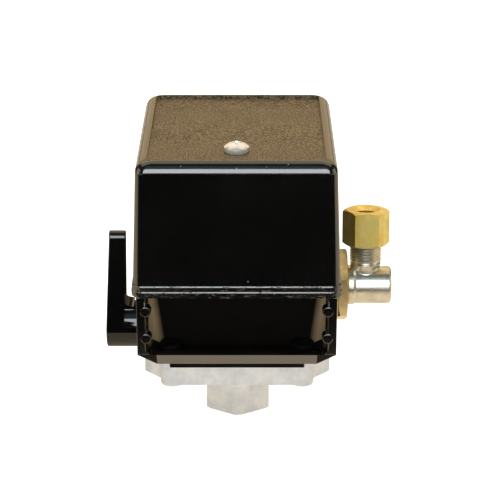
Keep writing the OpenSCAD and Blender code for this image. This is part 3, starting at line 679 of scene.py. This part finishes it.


# Range adjuster: a plated stud through frame and beam, with a heavy spring that a brass nut presses down.
# The stud's thread is rolled, and the spring is wound from oil-hardened wire with closed ends.
# The spring is made in two pieces, its lower and its upper half.

def wound(name, at, axis, radius, wire, length, curls):
    """A compression spring with closed ends: round wire swept along a coil that lies flat at both ends."""
    per_turn = 24
    closed = 0.75
    end_rise = 0.52 * wire
    points = []
    for step in range(per_turn * curls + 1):
        turns = step / per_turn
        share = min(max((turns - closed) / (curls - 2 * closed), 0), 1)
        climb = (min(turns, closed) + max(turns - curls + closed, 0)) / closed * end_rise
        height = climb + share * (length - wire - 2 * end_rise) + wire / 2
        swing = 2 * math.pi * turns
        points.append((radius * math.cos(swing), radius * math.sin(swing), height))
    bpy.ops.object.select_all(action="DESELECT")
    bpy.ops.curve.primitive_nurbs_path_add()
    coil = bpy.context.object
    coil.data.splines.clear()
    line = coil.data.splines.new("POLY")
    line.points.add(len(points) - 1)
    for spot, place in zip(line.points, points):
        spot.co = (*place, 1)
    coil.data.bevel_depth = wire / 2
    coil.data.bevel_resolution = 3
    coil.data.use_fill_caps = True
    bpy.ops.object.convert(target="MESH")
    coil = bpy.context.object
    stood(coil, name, at, Vector((0, 0, 1)).rotation_difference(Vector(axis)).to_euler())
    with editing(coil):
        bpy.ops.mesh.remove_doubles(threshold=0.002 * mm)
        bpy.ops.mesh.normals_make_consistent(inside=False)
    shade(50)
    return coil


stud_low, stud_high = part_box("range_stud")
stud_y = (stud_low.y + stud_high.y) / 2
stud_r = (stud_high.x - stud_low.x) / 2
thread_h = 0.4 * mm
stud_core = stud_r - thread_h
thread_low = stud_high.z - 30 * mm
rivet_r = 2 * mm
rivet_top = stud_low.z + 1.5 * mm
chamfer = 0.4 * mm
stud = turned("stud", [(rivet_r, stud_low.z), (rivet_r, rivet_top), (stud_r, rivet_top),
                       (stud_r, thread_low - chamfer), (stud_core, thread_low),
                       (stud_core, stud_high.z - chamfer), (stud_core - chamfer, stud_high.z)],
              at=(0, stud_y, 0))
combine(stud, "DIFFERENCE", block("slot", (-3 * mm, stud_y - 0.5 * mm, stud_high.z - 2 * mm),
                                  (3 * mm, stud_y + 0.5 * mm, stud_high.z + 1 * mm)))
shade(30)
fit(stud, "switch_base", "zinc_steel", zinc, "range_stud")
stud_thread = thread("stud_thread", stud_r, 0.42 * mm, 0.8 * mm, thread_low, stud_high.z - 2.2 * mm,
                     at=(0, stud_y, 0))
fit(stud_thread, "switch_base", "zinc_steel", zinc)

seat_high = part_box("spring_seat")[1]
beam_top = housing_top + 7.9 * mm
seat_under = seat_high.z - 2 * mm
spring_foot = Vector((0, stud_y, beam_top))
spring_head = Vector((0, stud_y, seat_under))
spring_middle = (spring_foot + spring_head) / 2
for half, cut in (("lower", 1), ("upper", -1)):
    coil = wound("main_spring_" + half, spring_foot, (0, 0, 1), 6.5 * mm, 2 * mm, seat_under - beam_top, 9)
    bisected(coil, spring_middle, (0, 0, cut))
    shade(50)
    coil.data.materials.append(spring_steel)
    if half == "lower":
        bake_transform(coil)
    else:
        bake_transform(coil)
    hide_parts("range_spring")
refined("spring_seat", "seat_washer", 0.2 * mm, "seat_group", "zinc_steel", zinc)
range_nut = hexagon("brass_nut", 9.5 * mm, 5 * mm, 0.4 * mm, at=(0, stud_y, seat_high.z),
                    turn=math.radians(30))
combine(range_nut, "DIFFERENCE", rod("nut_bore", stud_r + 0.05 * mm, (0, stud_y, seat_high.z - 1 * mm),
                                     (0, stud_y, seat_high.z + 9 * mm)))
soften(range_nut, 0.12 * mm, segments=2, angle=25)
fit(range_nut, "nut_group", "bare_brass", brass, "range_nut")


# Contact block: the moulded barrier between the wiring space and the mechanism, with the terminal shelf.
# Black phenolic with a painted tan reflection of warm light on its curved ends, screwed to the base by two
# feet.
# A tapped steel post on it takes the cover's screw.

phenolic, phenolic_tree, phenolic_shader = matt_black("black_phenolic")
# The tan towards the block's curved ends is a painted reflection of warm light, set by distance from the
# middle and leaning with height.
phenolic_place = add(phenolic_tree, "ShaderNodeTexCoord", {})
phenolic_axes = add(phenolic_tree, "ShaderNodeSeparateXYZ", {})
phenolic_out = add(phenolic_tree, "ShaderNodeMath", {}, operation="ABSOLUTE")
painted_reflection_lean = add(phenolic_tree, "ShaderNodeMath", {1: -0.13}, operation="MULTIPLY_ADD")
painted_reflection_band = add(phenolic_tree, "ShaderNodeMapRange", {"From Min": 20 * mm, "From Max": 22.5 * mm})
link(phenolic_tree, phenolic_place, "Object", phenolic_axes, "Vector")
link(phenolic_tree, phenolic_axes, "X", phenolic_out, 0)
link(phenolic_tree, phenolic_axes, "Z", painted_reflection_lean, 0)
link(phenolic_tree, phenolic_out, "Value", painted_reflection_lean, 2)
link(phenolic_tree, painted_reflection_lean, "Value", painted_reflection_band, "Value")
tint(phenolic_tree, painted_reflection_band.outputs["Result"], (0.004, 0.003, 0.002), (0.42, 0.31, 0.18),
     phenolic_shader.inputs["Base Color"], spread=(0, 1))
refined("contact_block", "terminal_block", 0.3 * mm, "switch_base", "phenolic", phenolic)
foot_x = 15 * mm
foot_y = -19.4 * mm
foot_seat = floor_top + 2.5 * mm
screws("foot_screws", "block_screws", [(x, foot_y, foot_seat) for x in (-foot_x, foot_x)],
       2.6 * mm, 2 * mm, 1.5 * mm, 4.3 * mm)
refined("cover_post", "threaded_post", 0.2 * mm, "switch_base", "zinc_steel", zinc)


# Terminals: four copper plates on the shelf, each with a fixed contact and a screw that clamps a wire.
# Stamped, with the contacts riveted on.

copper = metal("contact_copper", (0.5, 0.25, 0.14), (0.72, 0.42, 0.28), 0.3, 350, 2500, 0.05 * mm)
refined("terminal_plates", "copper_plates", 0.12 * mm, "switch_base", "contact_copper", copper)
plate_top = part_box("terminal_plates")[1].z - 1 * mm
terminal_y = -26.5 * mm
screws("wire_screws", "terminal_screws",
       [(x * mm, terminal_y, plate_top) for x in (-22.5, -9.5, 9.5, 22.5)],
       3.5 * mm, 2.4 * mm, 1.7 * mm, 3.8 * mm)


# Contact carrier: the tan moulded bar that the beam or the crank lifts, with two sprung bridges under it.
# Each copper bridge rides on a stem and closes two fixed contacts.

resin = dull("tan_resin", (0.42, 0.27, 0.13), (0.52, 0.35, 0.18), 0.42, 100, 900, 0.06 * mm)
refined("contact_carrier", "carrier_bar", 0.3 * mm, "carrier_group", "carrier_resin", resin)
refined("contact_bridges", "bridge_bars", 0.15 * mm, "carrier_group", "contact_copper", copper)
bridge_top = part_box("contact_bridges")[1].z
bar_low = plate_top + 8.1 * mm
stem_x = 16 * mm
stem_y = -20.2 * mm
contact_spring = wound("contact_spring", (-stem_x, stem_y, bridge_top), (0, 0, 1), 2.1 * mm, 0.6 * mm,
                       bar_low - bridge_top, 4)
contact_springs = copies("bridge_springs", contact_spring, [(-stem_x, 0, 0), (stem_x, 0, 0)])
fit(contact_springs, "carrier_group", "spring_steel", spring_steel, "contact_springs")


# Off lever: a black finger on a round hub, turned by hand on the end of a steel shaft.
# Moulded like the base, glossy, with a fillet where the finger meets its hub.
# The shaft's crank lifts the contact carrier.

lever_low, lever_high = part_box("lever")
hub_r = lever_axis.z - lever_low.z
tip_r = 2.4 * mm
finger_t = 6.1 * mm
tip_t = 5.6 * mm
finger_lean = 0.95 * mm
hub_in = lever_high.x - 4.7 * mm
reach = lever_high.z - tip_r - lever_axis.z
hub = across(lever_axis, 0)

lever = rod("off_lever_finger", hub_r, across(hub, hub_in - finger_t), across(hub, hub_in), sides=96)
tangent = hub_r * (hub_r - tip_r) / reach
with editing(lever):
    pick(lever, "VERT", lambda at: at.z - hub.z > tangent)
    bpy.ops.transform.resize(value=(tip_t / finger_t, tip_r / hub_r, tip_r / hub_r),
                             center_override=across(hub, hub_in))
    bpy.ops.transform.translate(value=(finger_lean, 0, reach))
    for level in (hub.z + tangent + 0.5 * mm, hub.z + reach - 0.2 * mm):
        bpy.ops.mesh.select_all(action="SELECT")
        bpy.ops.mesh.bisect(plane_co=(0, 0, level), plane_no=(0, 0, 1), threshold=0.001 * mm)
soften(lever, 0.4 * mm, angle=40)
boss = rod("lever_boss", hub_r, across(hub, hub_in - 1.5 * mm), across(hub, lever_high.x), sides=96)
soften(boss, 0.5 * mm)
combine(lever, "UNION", boss)
fillet_w = 3.2 * mm
fillet_h = 1.3 * mm
fillet = block("fillet", (hub_in - 0.8 * mm, hub.y - 4 * mm, hub.z + 3 * mm),
               (hub_in + fillet_w, hub.y + 4 * mm, hub.z + hub_r + fillet_h))
round_at = Vector((hub_in + fillet_w + 0.3 * mm, hub.y, hub.z + hub_r + fillet_h))
round_reach = Vector((0, 9 * mm, 0))
hollow = rod("round", fillet_h, round_at - round_reach, round_at + round_reach)
with editing(hollow):
    bpy.ops.transform.resize(value=(fillet_w / fillet_h, 1, 1), center_override=round_at)
combine(lever, "UNION", combine(fillet, "DIFFERENCE", hollow))
combine(lever, "DIFFERENCE", rod("shaft_bore", 3.02 * mm, across(hub, hub_in - 3 * mm),
                                 across(hub, lever_high.x + 1 * mm)))
shade(30)
keep_flat(lever)
fit(lever, "lever_group", "lever_black", moulded_black("lever_black", 0.08, 0.03, 0.08, ior=1.55), "lever")
refined("lever_shaft", "shaft", 0.2 * mm, "lever_group", "zinc_steel", zinc)
refined("lever_crank", "crank", 0.2 * mm, "lever_group", "zinc_steel", zinc)


# Unloader bracket: a thick hexagon with a round face, which stands the valve off the base's right wall.
# Cut from steel bar, with turned chamfers, and yellow passivated over its zinc plate.

bracket_low, bracket_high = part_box("unloader_bracket")
face_t = 1.9 * mm
bracket = hexagon("valve_bracket", 23.6 * mm, bracket_high.x - bracket_low.x - face_t, 0.7 * mm,
                  at=across(valve_axis, bracket_low.x + face_t), turn=math.radians(30),
                  lean=(0, math.pi / 2, 0))
combine(bracket, "UNION", rod("round_face", 10 * mm, across(valve_axis, bracket_low.x),
                              across(valve_axis, bracket_low.x + 2 * face_t)))
combine(bracket, "DIFFERENCE", rod("valve_hole", spigot_hole, across(valve_axis, bracket_low.x - 1 * mm),
                                   across(valve_axis, bracket_high.x + 1 * mm)))
soften(bracket, 0.25 * mm, segments=2, angle=25)
yellow_zinc = metal("yellow_zinc", (0.68, 0.54, 0.27), (0.9, 0.77, 0.47), 0.28, 160, 2200, 0.06 * mm)
fit(bracket, "switch_base", "yellow_steel", yellow_zinc, "unloader_bracket")


# Unloader valve: a round body with a collar, clamped through bracket and wall by a jam nut.
# Its threaded stub leans back a little; heights on it are measured along it from the body's axis.
# Cast brass, turned and tin plated; a plug closes its end over a spring, a plunger and a rubber seal.

valve_low, valve_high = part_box("unloader_body")
stub_foot = across(valve_axis, 45 * mm)
stub_tilt = math.radians(8)
stub_lean = (-stub_tilt, 0, 0)
stub_up = Vector((0, math.sin(stub_tilt), math.cos(stub_tilt)))
stub_r = 5.55 * mm
stub_core = stub_r - 0.5 * mm
neck_r = 4.6 * mm
neck_top = 8.2 * mm
nut_low = 14.8 * mm
nut_top = 27.3 * mm
stub_top = nut_top - 4.7 * mm
tube_end = stub_top - 9.5 * mm
tube_r = 3.25 * mm
spigot_len = bracket_high.x - valve_low.x
valve_len = valve_high.x - valve_low.x
spigot_r = 4 * mm
body_r = 6.6 * mm
collar_r = 7 * mm
valve = turned("valve_body", [
    (spigot_r - chamfer, 0), (spigot_r, chamfer), (spigot_r, spigot_len), (body_r, spigot_len),
    (collar_r, spigot_len + chamfer), (collar_r, spigot_len + 2.4 * mm), (body_r, spigot_len + 2.8 * mm),
    (body_r, valve_len - 0.6 * mm), (body_r - 0.6 * mm, valve_len)],
    at=across(valve_axis, valve_low.x), turn=(0, math.pi / 2, 0), sides=96)
stub = turned("stub", [(neck_r, 0), (neck_r, 5.2 * mm), (neck_r + 0.25 * mm, 6.6 * mm), (stub_r, neck_top),
                       (stub_core, neck_top + 0.1 * mm), (stub_core, stub_top - chamfer),
                       (stub_core - chamfer, stub_top)], at=stub_foot, turn=stub_lean, sides=96)
combine(valve, "UNION", stub)
apply(valve, "REMESH", mode="VOXEL", voxel_size=0.25 * mm)
apply(valve, "SMOOTH", factor=0.5, iterations=4)
seal_x = bracket_high.x + 4.5 * mm
passage_r = 2 * mm
flare = 1.2 * mm
combine(valve, "DIFFERENCE",
        rod("pin_bore", 1.6 * mm, across(valve_axis, valve_low.x - 1 * mm),
            across(valve_axis, seal_x + 1 * mm), sides=32),
        rod("valve_chamber", 4 * mm, across(valve_axis, seal_x), across(valve_axis, valve_high.x + 1 * mm)),
        turned("tube_bore", [(passage_r, 0), (passage_r, tube_end), (tube_r, tube_end),
                             (tube_r, stub_top - flare), (tube_r + flare, stub_top),
                             (tube_r + flare, stub_top + 1 * mm)], at=stub_foot, turn=stub_lean))
shade(40)
plating = metal("plated_brass", (0.6, 0.58, 0.49), (0.8, 0.77, 0.68), 0.32, 220, 2400, 0.05 * mm)
fit(valve, "switch_base", "plated_brass", plating, "unloader_body")
stub_thread = thread("tube_thread", stub_r, 0.52 * mm, 1.06 * mm, neck_top + 0.1 * mm, stub_top - 0.3 * mm,
                     at=stub_foot, turn=stub_lean)
fit(stub_thread, "switch_base", "plated_brass", plating)
refined("unloader_plug", "end_plug", 0.15 * mm, "switch_base", "plated_brass", plating)
refined("unloader_plunger", "plunger", 0.1 * mm, "plunger_group", "bare_brass", brass)
refined("unloader_seal", "seal_disc", 0.15 * mm, "plunger_group", "nitrile", rubber)
plug_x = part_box("unloader_plug")[0].x
valve_spring = wound("valve_spring", across(valve_axis, plunger_high.x), (1, 0, 0), 2.6 * mm, 0.7 * mm,
                     plug_x - plunger_high.x, 5)
valve_spring.data.materials.append(spring_steel)
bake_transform(valve_spring)
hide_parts("unloader_spring")
refined("jam_nut", "wall_nut", 0.15 * mm, "switch_base", "zinc_steel", zinc, angle=25)


# Compression nut: the brass hexagon on the stub, which squeezes the ferrule on the unloader's tube.
# Turned from hexagon bar, chamfered and countersunk, and left bright.

nut = hexagon("tube_nut", 14.3 * mm, nut_top - nut_low, 0.65 * mm, at=stub_foot + nut_low * stub_up,
              turn=math.radians(30), lean=stub_lean)
nut_tap = stub_r + 0.05 * mm
tap_end = stub_top + 0.4 * mm
ferrule_end = stub_top + 2 * mm
mouth_r = tube_r + 2 * mm
combine(nut, "DIFFERENCE", turned("nut_bore", [
    (nut_tap, nut_low - 1 * mm), (nut_tap, tap_end), (tube_r + flare, tap_end),
    (tube_r + flare, ferrule_end), (tube_r, ferrule_end), (tube_r, nut_top - 1.2 * mm),
    (mouth_r, nut_top), (mouth_r, nut_top + 1 * mm)], at=stub_foot, turn=stub_lean))
soften(nut, 0.18 * mm, angle=25)
bright_brass = metal("bright_brass", (0.74, 0.54, 0.12), (0.94, 0.76, 0.26), 0.33, 260, 2600, 0.05 * mm,
                     metallic=0.75)
fit(nut, "switch_base", "bare_brass", bright_brass, "compression_nut")
refined("ferrule", "brass_ferrule", 0.1 * mm, "switch_base", "bare_brass", brass)


# Cover: a deep moulded cap over the works, drafted on all sides, with a double step round its rim.
# Glossy black thermoplastic like the base; a panel sunk in the top has a stippled texture.

cover_low, cover_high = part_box("cover")
step_out = 0.4 * mm
step_slope = Vector((0.16, 0.16, 0.38)) * mm
cover_wall = 2.2 * mm
corner_r = 3.5 * mm
panel = Vector((29, 33.5, 0)) * mm
panel_rear = 35.6 * mm
panel_drop = 0.5 * mm
roof = cover_high.z - cover_wall - 1 * mm
rim = Vector((cover_high.x - step_out, cover_high.y - step_out, 0))
draft = Vector((1.8, 1.5, 0)) * mm


def drafted(name, inset, low, high, corner, top_round, rear_round):
    """A cap: a plate with round corners, drawn up along leaning walls and over its round top edges."""
    half = rim - Vector((inset, inset, 0))
    plate = 1 * mm
    shape = slab(name, (-half.x, -half.y, low), (half.x, half.y, low + plate), corner, segments=8)
    lean = 1 - top_round / (high - low)
    side, front, rear = half.x - lean * draft.x, half.y - lean * draft.y, half.y - lean * draft.y
    last = high - top_round
    with editing(shape):
        pick(shape, "FACE", lambda at: at.z > low + 0.9 * plate)
        bpy.ops.transform.translate(value=(0, 0, last - low - plate))
        bpy.ops.transform.resize(value=(side / half.x, front / half.y, 1), center_override=(0, 0, 0))
        for step in range(1, 11):
            swing = math.radians(9 * step)
            height = high - top_round * (1 - math.sin(swing))
            edge_in = top_round * (1 - math.cos(swing))
            below = min(high - height, rear_round)
            back_in = rear_round - math.sqrt(rear_round ** 2 - (rear_round - below) ** 2)
            rest = draft * (1 - (high - height) / (high - low))
            next_side = half.x - rest.x - edge_in
            next_front = half.y - rest.y - edge_in
            next_rear = half.y - rest.y - back_in
            bpy.ops.mesh.extrude_region_move(TRANSFORM_OT_translate={"value": (0, 0, height - last)})
            growth = (next_front + next_rear) / (front + rear)
            bpy.ops.transform.resize(value=(next_side / side, growth, 1), center_override=(0, 0, height))
            bpy.ops.transform.translate(value=(0, next_rear - growth * rear, 0))
            side, front, rear, last = next_side, next_front, next_rear, height
    return shape


def rim_step(out, low, high):
    """A band round the rim: a plate with round corners, drawn up to a sloped upper edge."""
    half = rim + Vector((out, out, 0))
    edge = high - step_slope.z
    band = slab("rim_step", (-half.x, -half.y, low), (half.x, half.y, edge), corner_r + out, segments=8)
    with editing(band):
        pick(band, "FACE", lambda at: at.z > edge - 0.1 * mm)
        bpy.ops.mesh.extrude_region_move(TRANSFORM_OT_translate={"value": (0, 0, step_slope.z)})
        bpy.ops.transform.resize(value=(1 - step_slope.x / half.x, 1 - step_slope.y / half.y, 1),
                                 center_override=(0, 0, high))
    return band


rear_edge = 1.2 * mm
cover = drafted("cover_shell", 0, cover_low.z, cover_high.z, corner_r, 4 * mm, rear_edge)
combine(cover, "UNION", rim_step(step_out / 2, cover_low.z + 0.6 * mm, cover_low.z + 4.3 * mm),
        rim_step(step_out, cover_low.z + 0.3 * mm, cover_low.z + 2.4 * mm))
hollow = drafted("hollow", cover_wall, cover_low.z - 1 * mm, roof, 1.8 * mm, 2.5 * mm, rear_edge)
post_low, post_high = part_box("cover_post")
post_y = (post_low.y + post_high.y) / 2
post_top = post_high.z
combine(hollow, "DIFFERENCE", rod("boss", 5 * mm, (0, post_y, post_top), (0, post_y, cover_high.z)))
combine(cover, "DIFFERENCE", hollow)
panel_z = cover_high.z - panel_drop
panel_slope = math.atan(1 / 67)
recess = slab("recess", (-panel.x, -panel.y, panel_z), (panel.x, panel_rear, cover_high.z + 1 * mm),
              1.5 * mm, segments=5)
with editing(recess):
    pick(recess, "FACE", lambda at: at.z < panel_z + 0.1 * mm)
    bpy.ops.transform.rotate(value=panel_slope, orient_axis="X", center_override=(0, post_y, panel_z))
combine(cover, "DIFFERENCE", recess,
        rod("screw_hole", 2.2 * mm, (0, post_y, post_top - 1 * mm), (0, post_y, cover_high.z + 1 * mm)))
shade(20.5)
keep_flat(cover)
fit(cover, "cover_group", "cover_black", moulded_black("cover_black", 0.14, 0.08, 0.4), "cover")


def stippled():
    """The top panel's sparked texture: fine pits, with brownish crests that are painted warm light."""
    material, tree, shader = finish("stippled_black", (0.05, 0.036, 0.02), 0.5)
    surface = use(tree, skin, {"Patches per metre": 60, "Grains per metre": 1700})
    # The brown of the panel and of its grain's crests is painted warm light, not a colour of the black
    # plastic.
    tint(tree, surface.outputs["Grain"], (0.016, 0.012, 0.006), (0.24, 0.165, 0.07),
         shader.inputs["Base Color"], spread=(0.44, 0.58))
    vary(tree, surface.outputs["Patch"], 0.42, 0.56, shader.inputs["Roughness"])
    relief(tree, surface.outputs["Grain"], 0.35 * mm, 1.0, shader)
    return material


coat(cover, stippled(), lambda at: roof + 0.8 * mm < at.z < cover_high.z - 0.1 * mm
     and abs(at.x) < panel.x + 0.05 * mm and -panel.y - 0.05 * mm < at.y < panel_rear + 0.05 * mm)
coat(cover, moulded_black("rim_black", 0.2, 0.75, 0.5, depth=0.78 * mm),
     lambda at: at.z < cover_low.z + 4.6 * mm
     and (abs(at.x) > rim.x - 0.5 * mm or abs(at.y) > rim.y - 0.5 * mm))


# Cover screw: the one screw that holds the cover, near the front of its top, in the tapped post.
# Zinc-plated steel with a pan head and a cross recess.

bright_zinc = metal("bright_zinc", (0.78, 0.78, 0.78), (0.93, 0.93, 0.92), 0.2, 400, 3000, 0.05 * mm,
                    metallic=0.6)
cover_screw = pan_screw("top_screw", (0, post_y, panel_z), 4.15 * mm, 3.3 * mm, 1.85 * mm, 14 * mm)
fit(cover_screw, "cover_group", "zinc_steel", bright_zinc, "cover_screw")


# Studio: a wide white floor, soft lamps, and cards low down and overhead that only glossy walls mirror.
# The camera stands at the photograph's height and distance.

def lamp(name, at, aim, width, depth, watts, color):
    """A soft rectangular lamp at a place, turned to a point."""
    bpy.ops.object.select_all(action="DESELECT")
    bpy.ops.object.light_add(type="AREA", location=at)
    light = bpy.context.object
    light.name = name
    light.rotation_euler = (Vector(aim) - Vector(at)).to_track_quat("-Z", "Y").to_euler()
    light.data.shape = "RECTANGLE"
    light.data.size = width
    light.data.size_y = depth
    light.data.energy = watts
    light.data.color = color
    light.visible_camera = False
    return light


target = (0, 0, 0.06)
lamp("overhead", (0, 0, 1.0), target, 1.2, 1.2, 8.5, (1, 1, 1)).visible_glossy = False
lamp("flash", (0, -0.75, 0.43), target, 0.75, 0.52, 5.5, (0.93, 0.97, 1)).visible_diffuse = False
lamp("teal_card", (0, -0.55, 0.8), target, 0.75, 0.5, 0.3, (0.45, 0.82, 1)).visible_diffuse = False
lamp("front_fill", (0, -0.9, 0.25), target, 0.8, 0.4, 3.0, (1, 1, 1)).visible_glossy = False
lamp("back_card", (0, 0.9, 0.5), target, 1.6, 0.9, 4.5, (1, 0.72, 0.4))
for side in (-1, 1):
    lamp("side_card", (side * 0.7, -0.05, 0.25), target, 0.5, 0.5, 1.0, (1, 0.85, 0.62))

world = bpy.data.worlds.new("studio")
bpy.context.scene.world = world
world.use_nodes = True
preset(world.node_tree.nodes["Background"], {"Color": (1, 1, 1, 1), "Strength": 0.06})

bpy.ops.object.select_all(action="DESELECT")
bpy.ops.mesh.primitive_plane_add(size=6)
floor = placed("floor")
paper, paper_tree, paper_shader = finish("white_paper", (0.9, 0.9, 0.9), 1.0)
preset(paper_shader, {"Specular IOR Level": 0.0, "Emission Color": (1, 1, 1, 1)})
path = add(paper_tree, "ShaderNodeLightPath", {})
either = add(paper_tree, "ShaderNodeMath", {}, operation="MAXIMUM")
seen = add(paper_tree, "ShaderNodeMath", {}, operation="MAXIMUM")
glow = add(paper_tree, "ShaderNodeMath", {1: 0.75}, operation="MULTIPLY")
link(paper_tree, path, "Is Camera Ray", either, 0)
link(paper_tree, path, "Is Glossy Ray", either, 1)
link(paper_tree, either, "Value", seen, 0)
link(paper_tree, path, "Is Transmission Ray", seen, 1)
link(paper_tree, seen, "Value", glow, 0)
link(paper_tree, glow, "Value", paper_shader, "Emission Strength")
floor.data.materials.append(paper)


def card(name, low, high, color, glow):
    """A card that only glossy surfaces mirror."""
    shape = block(name, low, high)
    material = finish(name, (0, 0, 0), 1.0)[0]
    preset(material.node_tree.nodes["Principled BSDF"],
           {"Specular IOR Level": 0.0, "Emission Color": (*color, 1), "Emission Strength": glow})
    shape.data.materials.append(material)
    shape.visible_camera = False
    shape.visible_diffuse = False
    shape.visible_shadow = False
    shape.visible_transmission = False


# The tan card lies on the floor, and the darker ones just above it, where they hide it.
tan = (1, 0.84, 0.6)
black = (0, 0, 0)
card("tan_card", (-1, -1, 0.0002), (1, 1, 0.0004), tan, 0.9)
card("tan_ceiling", (-0.8, 0.06, 1.1), (0.8, 1.1, 1.101), tan, 1.0)
card("shade_card", (-0.08, -0.1, 0.0006), (-0.032, 0.02, 0.0008), tan, 0.5)
card("black_card", (-0.6, -2.9, 0.0006), (0.6, -0.105, 0.0008), black, 0)
card("rear_card", (-0.045, 0.09, 0.0006), (0.045, 2.9, 0.0008), black, 0)
for side in (-1, 1):
    card("side_card", (side * 1.75 - 1.2, -0.105, 0.0006), (side * 1.75 + 1.2, 2.9, 0.0008), black, 0)

bpy.ops.object.camera_add(location=(0.0044, -0.5667, 0.2954), rotation=(math.radians(67.33), 0, 0))
camera = bpy.context.object
camera.data.lens = 126.5
camera.data.sensor_width = 36
bpy.context.scene.camera = camera
bpy.context.scene.view_settings.view_transform = "Standard"
